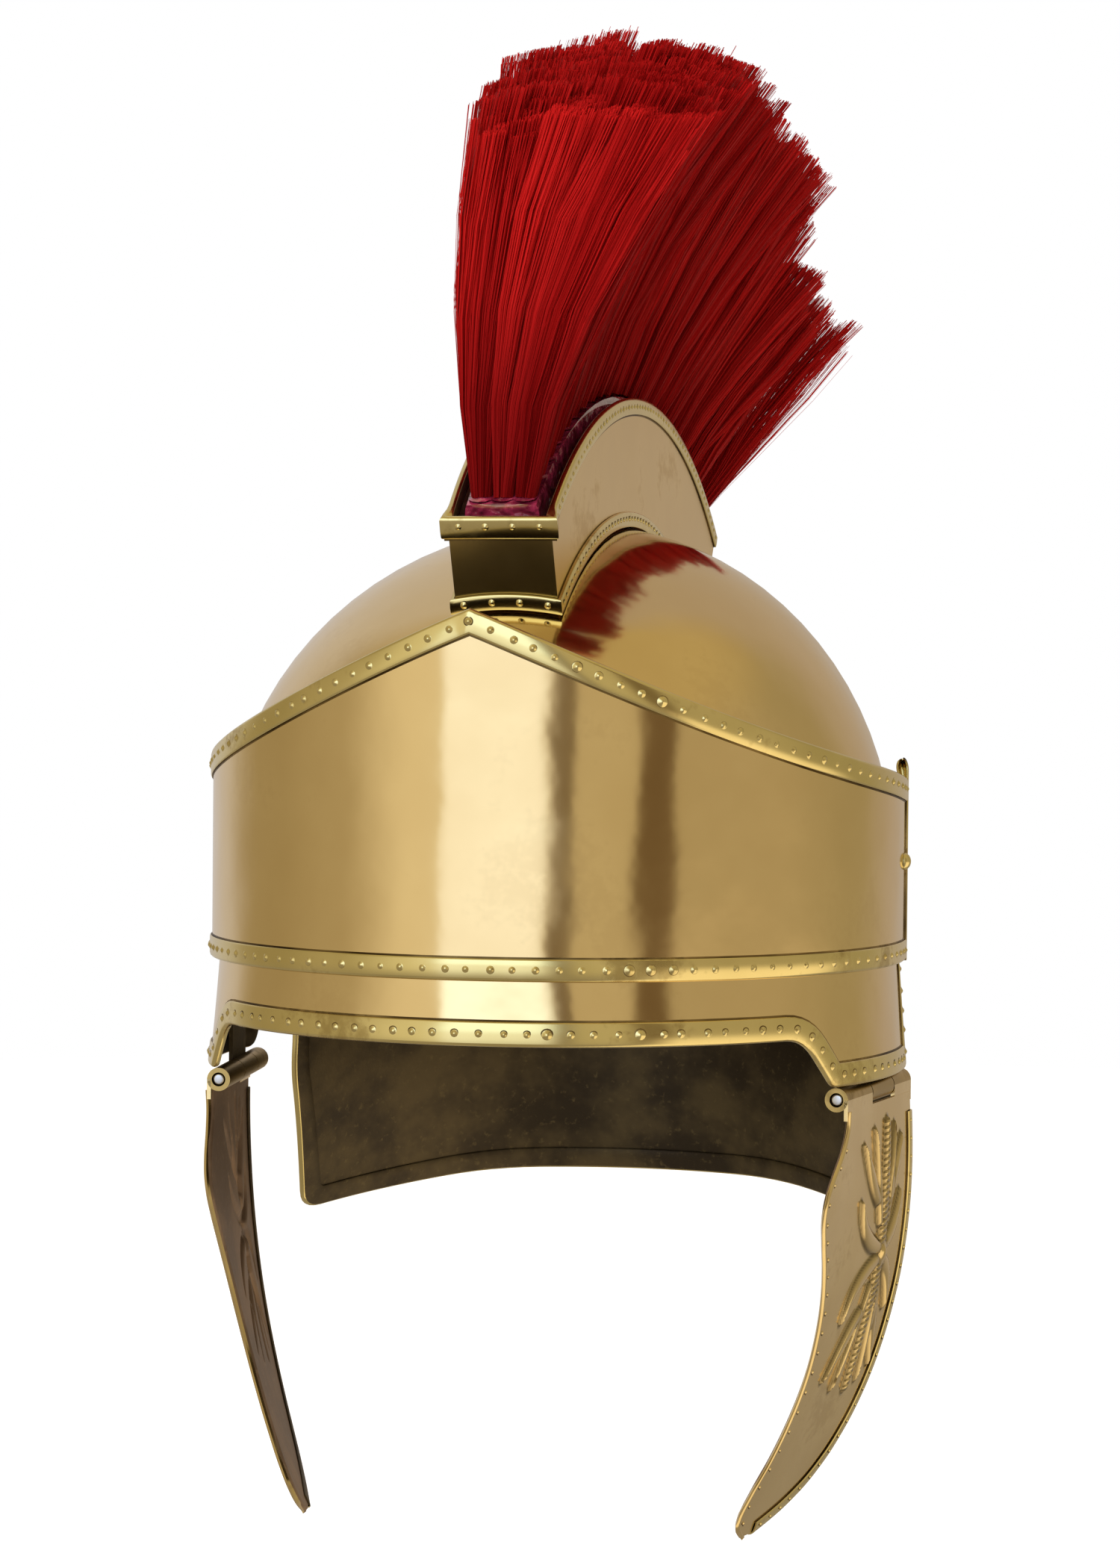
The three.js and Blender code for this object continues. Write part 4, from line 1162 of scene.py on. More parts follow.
crest_fold = folded_strip(
    "crest_top_strip", RING_COUNT, crest_top_line, CREST_STRIP, CREST_SHEET, (0, 30, 140))
top_dots = crest_dots("crest_top_dots", None, TOP_DOTS_DOWN, STRIP_SKIN)
stand_bound("crest_top_fold", "crest_top_binding", crest_fold, top_dots)

FOOT_SECTION = [(0.0, 0.3), (0.0, 1.1), (0.3, 1.3), (2.3, 1.4), (4.3, 1.3), (4.6, 1.05), (4.6, 0.3)]
FOOT_ROWS = len(FOOT_SECTION) - 1
FOOT_SHEET = 0.25


def crest_foot_place(u, v):
    row = np.rint(v * FOOT_ROWS).astype(int)
    points = np.empty((len(u), 3))
    for k, (from_foot, out) in enumerate(FOOT_SECTION):
        mine = row == k
        points[mine] = crest_ring(u[mine], out, from_foot=np.full(mine.sum(), from_foot))
    return points


foot_band = lay_sheet("crest_foot_strip", RING_COUNT, FOOT_ROWS, crest_foot_place, (0, 30, 110))
thicken(foot_band, FOOT_SHEET, [strip_brass])
foot_dots = crest_dots("crest_foot_dots", FOOT_DOTS_UP, None, FOOT_DOTS_OUT)
stand_bound("crest_foot_band", "crest_foot_binding", foot_band, foot_dots)

# %% [markdown]
# ## The block under the hair
# A painted block fills the box, a little proud of its edge, and the tufts are glued into it.
# It starts as a cube, cut many times, that is bent along the crest's arc and rounded at the top.
# A glossy mound surrounds each tuft, where the thick paint has crept up the hair.

# %% Plume block
BASE_ROOM = 4.3
BASE_PROUD = 1.6
BASE_LIFT = 2.2
BASE_INSET = 0.02
TUFT_ROWS = 22
TUFT_SHARES = (0.035, 0.985)
TUFT_SIDES = (-1, 0, 1)
ROW_TUFTS = len(TUFT_SIDES)
TUFT_OUT = 0.58
BLOCK_ROUND, BLOCK_CROWN = 0.07, 0.5
MOUND_RADIUS, MOUND_RISE = 4.2, 2.2
MOUND_SUNK, MOUND_VARIES = 0.25, 0.12


def base_half(share):
    return between(CREST_HALF, share) - BASE_ROOM


start_clean()
bpy.ops.mesh.primitive_cube_add(size=2)
block = bpy.context.object
block.name = block.data.name = "plume_block"
edit_all(block, lambda: bpy.ops.mesh.subdivide(number_cuts=20))
cube = points_of(block)
share = BASE_INSET + (cube[:, 1] + 1) / 2 * (1 - 2 * BASE_INSET)
rounded = 1 - BLOCK_ROUND * np.maximum(0, (cube[:, 2] - 0.7) / 0.3) ** 2
x = cube[:, 0] * base_half(share) * rounded
foot = crest_point(x, share, 0 * x, from_foot=np.full_like(x, BASE_LIFT))
top = crest_point(x, share, 0 * x, from_top=np.full_like(x, -BASE_PROUD))
crown = BLOCK_CROWN * (1 - cube[:, 0] ** 2)
top[:, 2] += np.where(cube[:, 2] > 0.99, crown - BLOCK_CROWN, 0)
set_points(block, (foot + (top - foot) * ((cube[:, 2] + 1) / 2)[:, None]) * MM)
block.data.materials.append(block_paint)
weld_outwards(block, (0, 30, 130))
bpy.ops.object.shade_smooth_by_angle(angle=math.radians(50))

tuft_share = np.repeat(np.linspace(*TUFT_SHARES, TUFT_ROWS), ROW_TUFTS)
tuft_side = np.tile(TUFT_SIDES, TUFT_ROWS).astype(float)
tuft_x = tuft_side * base_half(tuft_share) * TUFT_OUT
tuft_foot, tuft_tip = (
    crest_point(tuft_x, tuft_share, 0 * tuft_x, from_top=np.full_like(tuft_x, -BASE_PROUD - up))
    for up in (0, 1))
tuft_up = tuft_tip - tuft_foot
mound = dot_pattern(MOUND_RADIUS, MOUND_RISE, sides=12, rings=3)
mound_sizes = chance.normal(1, MOUND_VARIES, len(tuft_x))
mounds = scatter(
    "plume_mounds", mound, tuft_foot - tuft_up * MOUND_SUNK, tuft_up, mound_sizes, block_paint)
plume_block = join("plume_block_paint", [block, mounds])
stand_for(plume_block, "plume_base", "helmet")

# %% [markdown]
# ## The hair
# Bundles of dyed horse hair stand in three rows along the block: upright in front, swept back behind,
# and all combed a little to the wearer's left.
# A particle system would be lost in an export, so each strand is a narrow ribbon in one of four meshes.
# A ribbon faces out of the plume, which shades the mass softly and needs a third of a round rod's faces.
# Strands of a tuft leave one root together, gather in smaller locks that sway as one, and end at a
# blunt cut.

# %% Tufts and locks
LENGTH_SHARES = [0, 0.12, 0.3, 0.44, 0.54, 0.63, 0.71, 0.8, 0.9, 0.93, 1]
LENGTHS = [112, 114, 115, 107, 108, 114, 117, 109, 95, 111, 111]
TALL_ROWS, TALLER = (5, 8), 4
LEAN_SHARES, LEAN_ANGLES = [0, 0.88, 1], [-0.5, 42.5, 43.5]
BOW_SHARES, BOWS = [0, 0.2, 0.75, 0.9, 0.965, 1], [0, -2, 0, -2, -4, 9.5]
FAN_SHARES = [0, 0.12, 0.35, 1]
SPREAD_RIGHT = [4, 9.8, 10.5, 10.5]
SPREAD_LEFT = [4, 9, 9, 9]
SWEEP_RIGHT = [10.5, 14, 12, 7]
SWEEP_LEFT = [16.5, 12, 8.5, 5.5]
# The row tones also paint light and shade: lighter in front, darker just behind the front row's cut, and
# lighter again at the rear.
TONE_SHARES, ROW_TONES_AND_LIGHT = [0, 0.05, 0.09, 0.3, 1], [0.62, 0.56, 0.22, 0.42, 0.75]
# Painted light at the roots of the rows behind the front; the front row's roots start at none and are
# painted darkest.
ROOT_PAINTED_LIGHT = 0.32
STRANDS = {"front": 1600, "side": 840, "middle": 440}
LOCKS_PER_TUFT = 12
TUFT_ROOM = 8.4
ROOT_RADIUS = 2.9
LEFT_TRIM = 3
STRAND_CUTS = 4
STRAND_WIDTH = 0.23
HAIR_GROUPS = 4
CUT_SLANT = 0.65
FRONT_HALF = 0.85
TUFT_VARIES = {"lean": 1.4, "bow": 1.0, "spread": 1.2, "length": 1.5, "tone": 0.05}
LOCK_VARIES = {"length": 1.2, "tone": 0.06, "phase": 3, "sway": 1.3, "turn": 2.1}
SHORT_SHARE, SHORT_BY = 0.06, 12
LOOSE_SHARE, LOOSE_WITHIN = 0.07, 0.7
STRAY_SPREAD, STRAY_MOST = 7, 12
OWN_LENGTH, OWN_SWAY, OWN_TONE, OWN_FACING = 0.25, 0.4, 0.08, 0.75
OWN_WAVE, LOCK_WAVE = 5.5, 4.5
LOCK_PULL = 0.3
ROOM_ANGLE, ROOM_OVERLAP = 10.5, 1.1
ROOT_SUNK = 0.6
BOW_PEAK = 27 / 4
WIDENING = 0.2
hair_chance = np.random.default_rng(23)


def by_tuft(key):
    return hair_chance.normal(0, TUFT_VARIES[key], TUFT_ROWS * ROW_TUFTS)


def by_lock(key, *ways):
    return hair_chance.normal(0, LOCK_VARIES[key], (*ways, TUFT_ROWS * ROW_TUFTS, LOCKS_PER_TUFT))


def by_side(right, left):
    return np.where(
        tuft_side < 0, np.interp(tuft_share, FAN_SHARES, right), np.interp(tuft_share, FAN_SHARES, left))


tuft_lean = np.interp(tuft_share, LEAN_SHARES, LEAN_ANGLES) + by_tuft("lean")
tuft_cut = CUT_SLANT * np.tan(np.radians(tuft_lean - between(CREST_ANGLES, tuft_share)))
tuft_bow = np.interp(tuft_share, BOW_SHARES, BOWS) + by_tuft("bow")
tuft_spread = tuft_side * by_side(SPREAD_RIGHT, SPREAD_LEFT) + by_tuft("spread")
tuft_sweep = by_side(SWEEP_RIGHT, SWEEP_LEFT)
tuft_length = np.interp(tuft_share, LENGTH_SHARES, LENGTHS) + by_tuft("length")
tall_from, tall_to = (row * ROW_TUFTS for row in TALL_ROWS)
tuft_length[tall_from:tall_to:ROW_TUFTS] += TALLER
tuft_trim = np.where(tuft_side > 0, LEFT_TRIM, 0)
# Each tuft's tone holds the painted light of its row.
tuft_tone_and_light = np.interp(tuft_share, TONE_SHARES, ROW_TONES_AND_LIGHT) + by_tuft("tone")
tuft_count = np.where(tuft_side == 0, STRANDS["middle"], STRANDS["side"])
tuft_count[:ROW_TUFTS] = STRANDS["front"]
lock_place = hair_chance.uniform(-1, 1, (2, TUFT_ROWS * ROW_TUFTS, LOCKS_PER_TUFT))
lock_length, lock_tone, lock_phase = by_lock("length"), by_lock("tone"), by_lock("phase")
lock_sway, lock_turn = by_lock("sway", 2), by_lock("turn", 2)
print("tufts:", len(tuft_share), "strands:", tuft_count.sum())

# %% [markdown]
# Each strand has a way to grow, a length and a little waywardness of its own. The cut is blunt, as
# scissors leave it. Loose strands are turned into the plume, so that its outline stays trimmed.

# %% Strand shapes
def strand_ways(tuft):
    """The way each strand grows, the way across the plume, and the way onward along it."""
    lean, spread = np.radians(tuft_lean[tuft]), np.radians(tuft_spread[tuft])
    way = np.stack([np.sin(spread), np.cos(spread) * np.sin(lean), np.cos(spread) * np.cos(lean)], -1)
    across = np.cross(np.array([0, 1.0, 0]), way)
    across /= np.linalg.norm(across, axis=1, keepdims=True)
    return way, across, np.cross(way, across)


def strand_lengths(tuft, lock, own, tip):
    """Lengths to a blunt cut, with a few short strands, trimmed on the outer left side."""
    n = len(tuft)
    shorter = np.where(hair_chance.random(n) < SHORT_SHARE, hair_chance.uniform(0, SHORT_BY, n), 0)
    outer = (1 + own[0] * np.sign(tuft_side[tuft])) / 2 * np.where(tuft < ROW_TUFTS, 0.5, 1)
    length = tuft_length[tuft] + lock_length[tuft, lock] + hair_chance.normal(0, OWN_LENGTH, n)
    return length - shorter - tuft_trim[tuft] * outer ** 2 + tuft_cut[tuft] * tip[1] * TUFT_ROOM


def strand_strays(tuft, lock, own):
    """Loose strands leave their tuft, but they turn into the plume and not out of its outline."""
    n = len(tuft)
    loose = (hair_chance.random(n) < LOOSE_SHARE) & (np.abs(own).max(0) < LOOSE_WITHIN)
    stray = loose * np.clip(hair_chance.normal(0, STRAY_SPREAD, (2, n)), -STRAY_MOST, STRAY_MOST)
    ends = np.sign(np.round(tuft_share[tuft] * 2.6 - 1.3))
    for k, outwards in enumerate((tuft_side[tuft], ends)):
        stray[k] = np.where(outwards == 0, stray[k], -np.abs(stray[k]) * outwards)
    return stray + lock_turn[:, tuft, lock]


print("longest tuft, mm:", round(float(tuft_length.max()), 1))

# %% [markdown]
# A strand runs from its root to its own place in the fan, bent by its lock's wave and by its own.
# The points of all strands are worked out together, because a loop over so many would be slow.

# %% Strand meshes
def grow_strands(rows):
    """Points along every strand of some tuft rows, the way each faces, its tone with painted row light,
    and its painted root light.
    """
    tufts = (rows[:, None] * ROW_TUFTS + np.arange(ROW_TUFTS)).ravel()
    tuft = np.repeat(tufts, tuft_count[tufts])
    n = len(tuft)
    way, across, onward = strand_ways(tuft)
    own = hair_chance.uniform(-1, 1, (2, n))
    root = own / np.maximum(1, np.hypot(own[0], own[1]))
    lock = np.abs(lock_place[:, tuft] - own[..., None]).max(0).argmin(1)
    tip = own + (lock_place[:, tuft, lock] - own) * hair_chance.uniform(0, LOCK_PULL, n)
    length = strand_lengths(tuft, lock, own, tip)
    stray = strand_strays(tuft, lock, own)
    bow = np.stack([0 * length, tuft_bow[tuft]])
    sway, phase = hair_chance.normal(0, OWN_SWAY, (2, n)), hair_chance.uniform(0, 2 * np.pi, n)
    side_gap = base_half(tuft_share[tuft]) * TUFT_OUT + length * np.sin(np.radians(ROOM_ANGLE))
    room = np.stack([side_gap / 2 * ROOM_OVERLAP, np.full(n, TUFT_ROOM)])
    t = np.linspace(0, 1, STRAND_CUTS + 1)[None, :]
    own_wave = np.sin(phase[:, None] + t * OWN_WAVE) * t
    lock_wave = np.sin(lock_phase[tuft, lock][:, None] + t * LOCK_WAVE) * t
    off = [
        root[k][:, None] * ROOT_RADIUS * (1 - t) + (tip[k] * room[k])[:, None] * t
        + stray[k][:, None] * t ** 2 + sway[k][:, None] * own_wave
        + lock_sway[k, tuft, lock][:, None] * lock_wave + bow[k][:, None] * BOW_PEAK * t * (1 - t) ** 2
        for k in (0, 1)
    ]
    sweep = length * np.sin(np.radians(tuft_sweep[tuft]))
    points = (
        (tuft_foot[tuft] - tuft_up[tuft] * ROOT_SUNK)[:, None]
        + way[:, None] * (length[:, None] * t)[..., None]
        + np.array([1.0, 0, 0]) * (sweep[:, None] * t ** 2)[..., None]
        + across[:, None] * off[0][..., None]
        + onward[:, None] * off[1][..., None]
    )
    sideways = (tuft_side[tuft] + own[0] * 0.5) / 1.5
    forwards = np.where(tuft_share[tuft] < FRONT_HALF, -1, 1) * (1.15 - np.abs(sideways))
    forwards = np.where(tuft < ROW_TUFTS, -1.2, forwards)
    faces = across * sideways[:, None] + onward * forwards[:, None]
    faces = faces + hair_chance.normal(0, OWN_FACING, (n, 3))
    # The tone carries the row's painted light and shade with random tone.
    tone = tuft_tone_and_light[tuft] + lock_tone[tuft, lock] + hair_chance.normal(0, OWN_TONE, n)
    return points, faces, np.clip(tone, 0, 1), np.where(tuft < ROW_TUFTS, 0, ROOT_PAINTED_LIGHT)


def strand_mesh(name, points, faces, tone, root_light):
    """One narrow ribbon along each strand, a little broader where the strands fan out."""
    n, cuts = points.shape[0], points.shape[1] - 1
    t = np.linspace(0, 1, cuts + 1)
    half = STRAND_WIDTH / 2 * (1 + WIDENING * t)
    # Painted shade along each strand: its light share grows from the root to the tip.
    light = root_light[:, None] + (1 - root_light[:, None]) * t
    edge = np.cross(np.gradient(points, axis=1), faces[:, None])
    edge *= half[None, :, None] / np.linalg.norm(edge, axis=2, keepdims=True)
    ribbons = np.stack([points - edge, points + edge], 2)
    low = (np.arange(n) * (cuts + 1) * 2)[:, None] + (np.arange(cuts) * 2)[None]
    quads = np.stack([low, low + 1, low + 3, low + 2], -1).reshape(-1, 4)
    mesh = bpy.data.meshes.new(name)
    mesh.vertices.add(ribbons.size // 3)
    mesh.vertices.foreach_set("co", (ribbons * MM).ravel())
    mesh.loops.add(quads.size)
    mesh.loops.foreach_set("vertex_index", quads.ravel().astype(np.int32))
    mesh.polygons.add(len(quads))
    mesh.polygons.foreach_set("loop_start", np.arange(0, quads.size, 4, dtype=np.int32))
    mesh.update(calc_edges=True)
    mesh.materials.append(plume_dye_and_shade)
    hair = placed(name, mesh)
    carry(hair, tone=np.repeat(tone, (cuts + 1) * 2), light=np.repeat(light.ravel(), 2))
    return hair


print("cuts along a strand:", STRAND_CUTS)

# %% [markdown]
# Four meshes share the rows between them, so that no single piece grows too large to export.

# %% Grow the plume
groups = np.array_split(np.arange(TUFT_ROWS), HAIR_GROUPS)
for number, rows in enumerate(groups):
    hair = strand_mesh(f"plume_hair_{number}", *grow_strands(rows))
    stand_for(hair, "plume", "helmet")

# %% [markdown]
# ## The cheek hinge
# A level pin below each tab runs through rolled knuckles: two belong to the cheek piece, and one to a
# leaf inside the skull. Each knuckle is a short open cylinder with a wall given by Solidify.

# %% Hinge measures and knuckles
HINGE_AT = np.array([98.2, -13, -40])
HINGE_TURN = math.radians(7.8)
HINGE_WAY = np.array([math.sin(HINGE_TURN), math.cos(HINGE_TURN), 0])
HINGE_OUT = np.array([math.cos(HINGE_TURN), -math.sin(HINGE_TURN), 0])
KNUCKLE_RADIUS = 3.5
KNUCKLE_WALL = 1.4
PIN_RADIUS = 1.7
HINGE_END = 33.5
FRONT_KNUCKLE_END = -8
REAR_KNUCKLE_START = 15.5
LEAF_RISE = 23
LEAF_OUT = 1.7
LEAF_FOOT = 2.8
HINGE_GAP = 0.3
PIN_BEVEL = 0.5


def hinge_point(along, out, drop):
    along, out, drop = np.broadcast_arrays(along, out, drop)
    return (HINGE_AT + along[..., None] * HINGE_WAY + out[..., None] * HINGE_OUT
            - drop[..., None] * np.array([0, 0, 1.0]))


def hinge_rod(name, radius, start, end, finish, wall=None):
    start_clean()
    middle = Vector(hinge_point((start + end) / 2, 0.0, 0.0)) * MM
    bpy.ops.mesh.primitive_cylinder_add(
        vertices=40, radius=radius * MM, depth=(end - start) * MM, location=middle,
        rotation=(-math.pi / 2, 0, -HINGE_TURN), end_fill_type="NOTHING" if wall else "NGON")
    rod = bpy.context.object
    rod.name = rod.data.name = name
    bpy.ops.object.transform_apply(location=True, rotation=True, scale=True)
    if wall:
        return thicken(rod, wall, [finish])
    rod.data.materials.append(finish)
    bpy.ops.object.mode_set(mode="EDIT")
    bpy.ops.mesh.select_all(action="DESELECT")
    bpy.ops.mesh.select_mode(type="EDGE")
    bpy.ops.mesh.edges_select_sharp(sharpness=math.radians(60))
    bpy.ops.mesh.bevel(offset=PIN_BEVEL * MM, segments=3, affect="EDGES")
    bpy.ops.object.mode_set(mode="OBJECT")
    bpy.ops.object.shade_smooth_by_angle(angle=math.radians(40))
    return rod


def hinge_strap(name, start, end, out, top, foot, finish):
    def place(u, v):
        return hinge_point(start + u * (end - start), out + 0 * u, top + v * (foot - top))
    strap = lay_sheet(name, 8, 8, place, (0, 0, -40))
    return thicken(strap, SHEET, [finish])


print("pin length, mm:", 2 * (HINGE_END - HINGE_GAP))

# %% [markdown]
# The leaf's strap goes up behind the tab and is brown like the rest of the inside. Its knuckle is dull
# brass, darkened as painted shade inside the tab. The wire of the pin is a solid rod, and its two ends
# are bevelled as if they had been filed.

# %% Hinge leaves and pins
leaf_from, leaf_to = FRONT_KNUCKLE_END + HINGE_GAP * 2, REAR_KNUCKLE_START - HINGE_GAP * 2
# The leaf's knuckle is dull brass, a darker finish that paints the shade inside the tab.
leaf_knuckle = hinge_rod("leaf_knuckle", KNUCKLE_RADIUS, leaf_from, leaf_to, dull_and_shaded_brass, KNUCKLE_WALL)
leaf_strap = hinge_strap(
    "leaf_strap", leaf_from, leaf_to, LEAF_OUT, -LEAF_RISE, -LEAF_FOOT, brown_patina)
stand_for_both(join("hinge_leaf_plate_left", [leaf_strap, leaf_knuckle]), "hinge_leaf")

pin_end = HINGE_END - HINGE_GAP
pin_left = hinge_rod("hinge_wire_left", PIN_RADIUS, -pin_end, pin_end, pin_steel)
stand_for_both(pin_left, "hinge_pin")

# %% [markdown]
# ## The cheek pieces
# Each is a crescent of sheet, bowed inwards and turned in at the tip, with a thunderbolt raised from
# behind. The relief is worked out as a height over the plate: a knob, a twisted rope above and below it,
# and curved rays. The sheet is punched, so the same form shows sunk on the inside, which Solidify gives.

# %% Cheek measures
CHEEK_DROPS = np.array([3.4, 9, 15.5, 22, 27, 33, 40, 48, 58, 69, 81, 93, 105, 114, 121, 126, 129])
CHEEK_FRONTS = np.array([
    -33.2, -33.4, -37, -43, -46.4, -47, -44, -39.6, -35.2, -32.6, -32.2, -34.6, -39, -43.4, -44.6, -41.4,
    -36])
CHEEK_REARS = np.array([
    31.6, 32, 32.5, 33, 33.3, 33.5, 33.4, 33, 32, 29.8, 26.6, 21.8, 14.4, 6, -4.5, -17, -28])
CHEEK_BOW, BOW_DROP, BOW_POWER = 23, 122, 2.15
CHEEK_TWIST, TWIST_DROP, TWIST_POWER = 0.12, 112, 0.9


def smooth_edge(values):
    """A smooth curve through the edge's values, as a function of the drop below the pin."""
    slopes = np.gradient(values, CHEEK_DROPS)

    def at(drop):
        k = np.clip(np.searchsorted(CHEEK_DROPS, drop) - 1, 0, len(CHEEK_DROPS) - 2)
        gap = CHEEK_DROPS[k + 1] - CHEEK_DROPS[k]
        t = (drop - CHEEK_DROPS[k]) / gap
        return ((2 * t ** 3 - 3 * t ** 2 + 1) * values[k] + (t ** 3 - 2 * t ** 2 + t) * gap * slopes[k]
                + (3 * t ** 2 - 2 * t ** 3) * values[k + 1] + (t ** 3 - t ** 2) * gap * slopes[k + 1])
    return at


cheek_front, cheek_rear = smooth_edge(CHEEK_FRONTS), smooth_edge(CHEEK_REARS)


def cheek_point(along, drop, out):
    bow = CHEEK_BOW * (drop / BOW_DROP) ** BOW_POWER
    twist = CHEEK_TWIST * (drop / TWIST_DROP) ** TWIST_POWER
    return hinge_point(along, KNUCKLE_RADIUS - bow + twist * along + out, drop)


print("cheek plate drop, mm:", CHEEK_DROPS[0], "to", CHEEK_DROPS[-1])

# %% [markdown]
# The thunderbolt could be sculpted, but a rule keeps it crisp and the same on both cheek pieces. Each ray
# is a bent line with a width at three places, drawn above and below the knob, on both sides of the axis.
# Dirt and painted shade darken the foot of the relief, and the rope's turns are counted for the finish to
# groove and darken with dirt and painted shade.

# %% Thunderbolt relief
BOLT_KNOB_DROP = 50
BOLT_AXIS_DROPS = [8, 50, 90]
BOLT_AXIS_ALONG = [6.8, 10.2, 3.6]
BOLT_SIDES = (0.68, -1.1)
BOLT_RAYS = [
    {"across": (0, 0, 0), "up": (3, 20, 40), "half": (2.6, 2.3, 1.6), "sides": (1,), "rope": 1},
    {"across": (3.5, 7, 11), "up": (10, 24, 39), "half": (1.5, 1.6, 0.5), "sides": BOLT_SIDES, "rope": 0},
    {"across": (7, 13, 20), "up": (17, 25, 35), "half": (1.7, 2.3, 0.5), "sides": BOLT_SIDES, "rope": 0},
    {"across": (3, 14, 19.5), "up": (2, 8, 18), "half": (2.1, 2.5, 0.5), "sides": BOLT_SIDES, "rope": 0},
]
BOLT_RISE = 1.3
BOLT_FLANK, FLANK_START = 1.5, 0.45
RAY_LEAST = 0.45
DIRT_AND_SHADE_REACH = 1.1
ROPE_PITCH = 1.9
ROPE_HALF = 2.3
ROPE_SLANT = 1.8
KNOB_RADIUS = 3.2
KNOB_RISE = 2.1


def bolt_relief(along, drop):
    """Height of the thunderbolt over the plate, the dirt and painted shade along its foot, and the share
    that is rope.
    """
    height, dirt, rope = np.zeros_like(along), np.zeros_like(along), np.zeros_like(along)
    t = np.linspace(0, 1, 60)

    def bend(v):
        return 2 * (t - 0.5) * (t - 1) * v[0] - 4 * t * (t - 1) * v[1] + 2 * t * (t - 0.5) * v[2]

    for ray in BOLT_RAYS:
        for side in ray["sides"]:
            for half in (1, -1):
                ray_drop = BOLT_KNOB_DROP - half * bend(ray["up"])
                middle = np.interp(ray_drop, BOLT_AXIS_DROPS, BOLT_AXIS_ALONG)
                ray_along = middle + side * bend(ray["across"])
                gap = np.hypot(along[:, None] - ray_along, drop[:, None] - ray_drop)
                near = gap.argmin(1)
                width = np.maximum(RAY_LEAST, bend(ray["half"])[near])
                gap = gap[np.arange(len(along)), near]
                flank = np.clip((width - gap) / BOLT_FLANK + FLANK_START, 0, 1)
                crown = 0.72 + 0.28 * np.clip(1 - (gap / width) ** 2, 0, 1)
                ridge = flank * flank * (3 - 2 * flank) * crown
                rope = np.maximum(rope, flank * ray["rope"])
                height = np.maximum(height, BOLT_RISE * ridge)
                # Dirt and painted shade along the foot of each ray.
                dirt = np.maximum(dirt, np.clip(1 - np.abs(gap - width - 0.2) / DIRT_AND_SHADE_REACH, 0, 1))
    knob_along = np.interp(BOLT_KNOB_DROP, BOLT_AXIS_DROPS, BOLT_AXIS_ALONG)
    knob = np.hypot(along - knob_along, drop - BOLT_KNOB_DROP) / KNOB_RADIUS
    height = np.maximum(height, KNOB_RISE * np.sqrt(np.clip(1 - knob ** 2, 0, 1)))
    dirt = np.where(knob < 0.8, 0, np.maximum(dirt, np.clip(1 - np.abs(knob - 1.1) / 0.3, 0, 1)))
    return height, dirt * np.clip(1.35 - height / BOLT_RISE, 0, 1), rope * (knob > 1.1)


def rope_twist(along, drop):
    """How far the rope has turned, in radians, as a slanted count of its strands."""
    across = (along - np.interp(drop, BOLT_AXIS_DROPS, BOLT_AXIS_ALONG)) / ROPE_HALF
    return drop * 2 * np.pi / ROPE_PITCH + across * ROPE_SLANT


print("lines in the thunderbolt:", sum(2 * len(ray["sides"]) for ray in BOLT_RAYS))

# %% [markdown]
# The plate is a fine grid, so that the relief is smooth. Some columns are kept for the bead along the
# front edge, and a row of punched dots follows it. Two knuckles with short straps are joined to its head.

# %% Cheek plates
CHEEK_COLUMNS = 138
CHEEK_STEPS = 206
EDGE_BEAD = 1.3
EDGE_RISE = 0.9
EDGE_COLUMNS = 10 / CHEEK_COLUMNS
EDGE_BEADS = 2.4
CHEEK_BODIES = ("cheek_left", "cheek_right")
FRONT_DOTS_FROM, FRONT_DOTS_IN, FRONT_DOT_SPACING = 12, 5, 6.0


def cheek_spot(u, v):
    drop = CHEEK_DROPS[0] + v * (CHEEK_DROPS[-1] - CHEEK_DROPS[0])
    front, width = cheek_front(drop), cheek_rear(drop) - cheek_front(drop)
    edge = np.minimum(EDGE_BEAD * EDGE_BEADS, width * EDGE_COLUMNS)
    inner = np.clip((u - EDGE_COLUMNS) / (1 - EDGE_COLUMNS), 0, 1)
    return front + np.minimum(u / EDGE_COLUMNS, 1) * edge + inner * (width - edge), drop


def cheek_place(u, v):
    along, drop = cheek_spot(u, v)
    inside_edge = along - cheek_front(drop)
    bead = EDGE_RISE * np.sqrt(np.clip(1 - ((inside_edge - EDGE_BEAD) / EDGE_BEAD) ** 2, 0, 1))
    return cheek_point(along, drop, np.maximum(bolt_relief(along, drop)[0], bead))


cheek_sheet = lay_sheet("cheek_sheet", CHEEK_COLUMNS, CHEEK_STEPS, cheek_place, (0, 0, -80))
grid_u, grid_v = np.meshgrid(
    np.linspace(0, 1, CHEEK_COLUMNS + 1), np.linspace(0, 1, CHEEK_STEPS + 1))
grid_spots = cheek_spot(grid_u.ravel(), grid_v.ravel())
_, cheek_dirt_and_shade, cheek_rope = bolt_relief(*grid_spots)
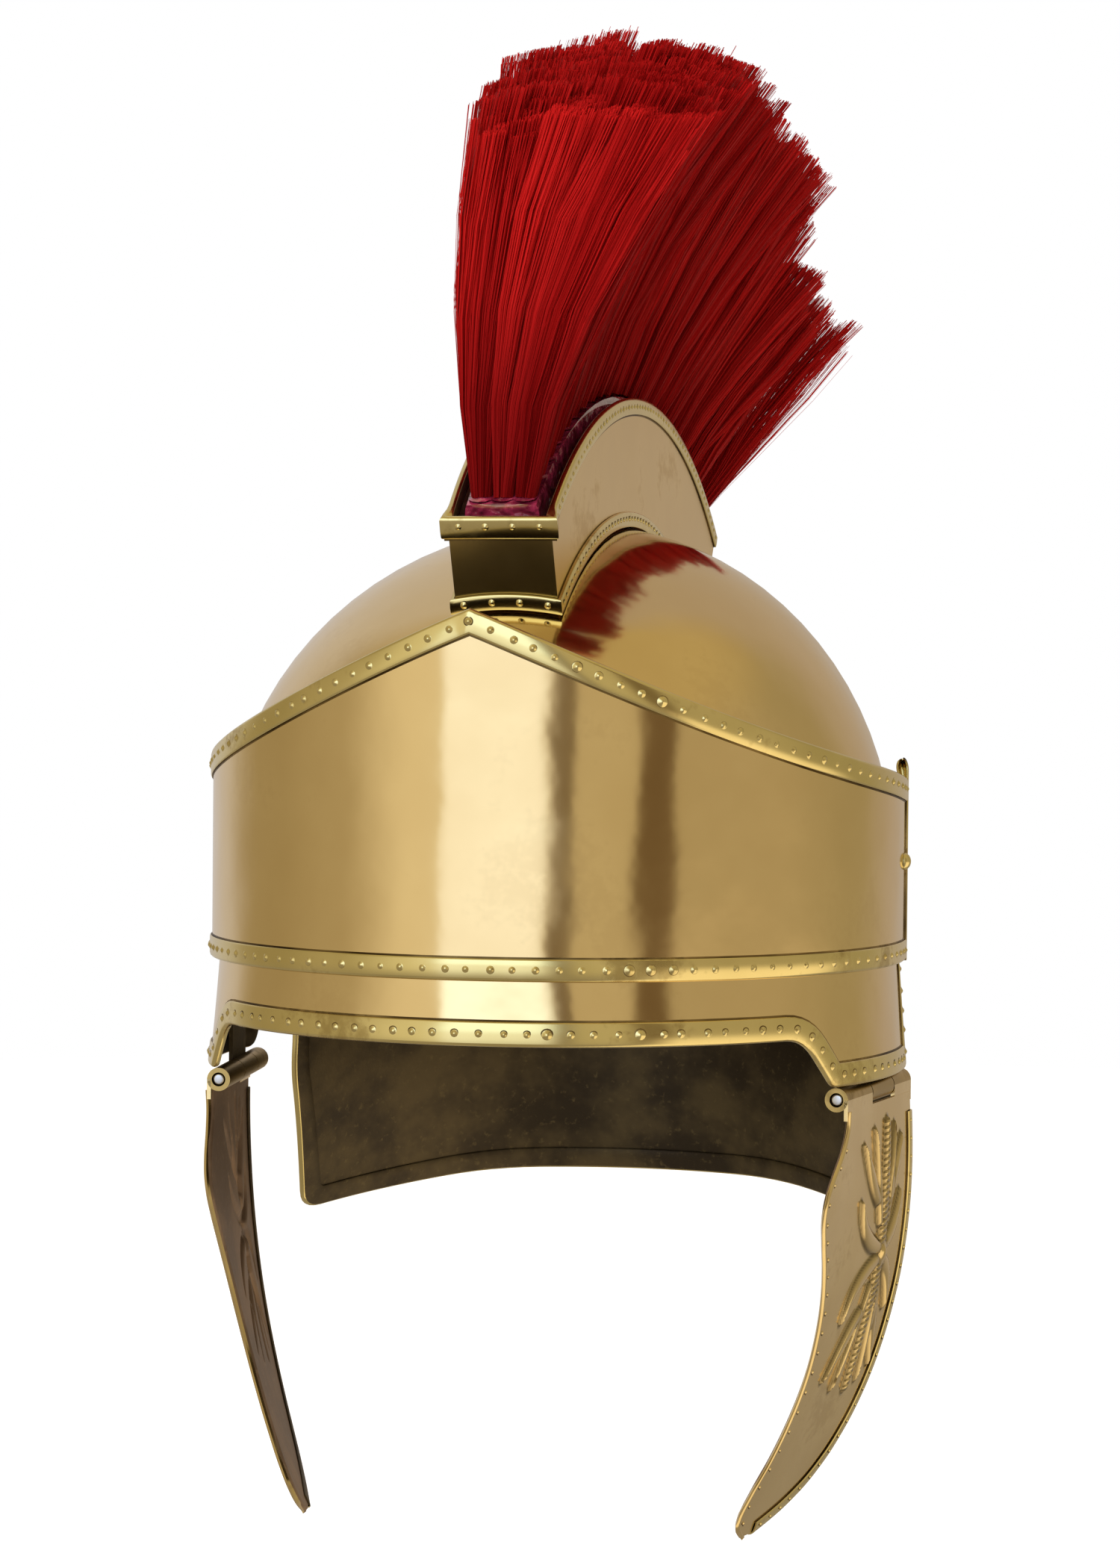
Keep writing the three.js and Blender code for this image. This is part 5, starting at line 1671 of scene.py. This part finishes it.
# The cheek carries its dirt and painted shade, with the rope and its twist, for its finish.
carry(cheek_sheet, dirt=cheek_dirt_and_shade, rope=cheek_rope, twist=rope_twist(*grid_spots))
thicken(cheek_sheet, SHEET, [cheek_brass, cheek_patina])
cheek_parts = [cheek_sheet]
for start, end in ((-HINGE_END, FRONT_KNUCKLE_END), (REAR_KNUCKLE_START, HINGE_END)):
    cheek_parts += [
        hinge_rod("cheek_knuckle", KNUCKLE_RADIUS, start, end, dull_and_shaded_brass, KNUCKLE_WALL),
        hinge_strap("cheek_strap", start, end, KNUCKLE_RADIUS, 0, 6, cheek_brass)]

edge_dot = dot_pattern(1.0, 0.5, sides=10, rings=3)


def cheek_front_dots(u):
    drop = FRONT_DOTS_FROM + u * (CHEEK_DROPS[-2] - FRONT_DOTS_FROM)
    along = cheek_front(drop) + FRONT_DOTS_IN
    low = cheek_point(along, drop, 0.0)
    return low, cheek_point(along, drop, 1.0) - low


front_dots = dots_along(
    "cheek_front_dots", cheek_front_dots, FRONT_DOT_SPACING, cheek_brass, edge_dot)
cheek_left = join("cheek_plate_left", [*cheek_parts, front_dots])
stand_for_both(cheek_left, "cheek_piece", CHEEK_BODIES)

# %% [markdown]
# The rear edge has a narrow folded strip with its own dots, from below the knuckle to the tip.
# It is measured square to the edge, so that it keeps its width where the edge turns.

# %% Cheek strips
CHEEK_STRIP = 3.6
REAR_DOTS_IN, REAR_DOT_SPACING = 1.9, 5.5


def cheek_strip_line(u, inwards, out):
    start, stop = CHEEK_DROPS[1], CHEEK_DROPS[-1]
    drop = start + u * (stop - start)
    step = 0.5
    after, before = np.minimum(drop + step, stop), np.maximum(drop - step, start)
    way = np.stack([cheek_rear(after) - cheek_rear(before), after - before], -1)
    way /= np.linalg.norm(way, axis=1, keepdims=True)
    return cheek_point(cheek_rear(drop) - way[:, 1] * inwards, drop + way[:, 0] * inwards, out)


cheek_fold = folded_strip("cheek_strip", 150, cheek_strip_line, CHEEK_STRIP, SHEET, (60, 0, -90))
cheek_dots = dots_along(
    "cheek_strip_dots", on_line(cheek_strip_line, REAR_DOTS_IN), REAR_DOT_SPACING, strip_brass, edge_dot)
stand_for_both(join("cheek_fold_left", [cheek_fold, cheek_dots]), "cheek_binding", CHEEK_BODIES)

# %% [markdown]
# ## Closing
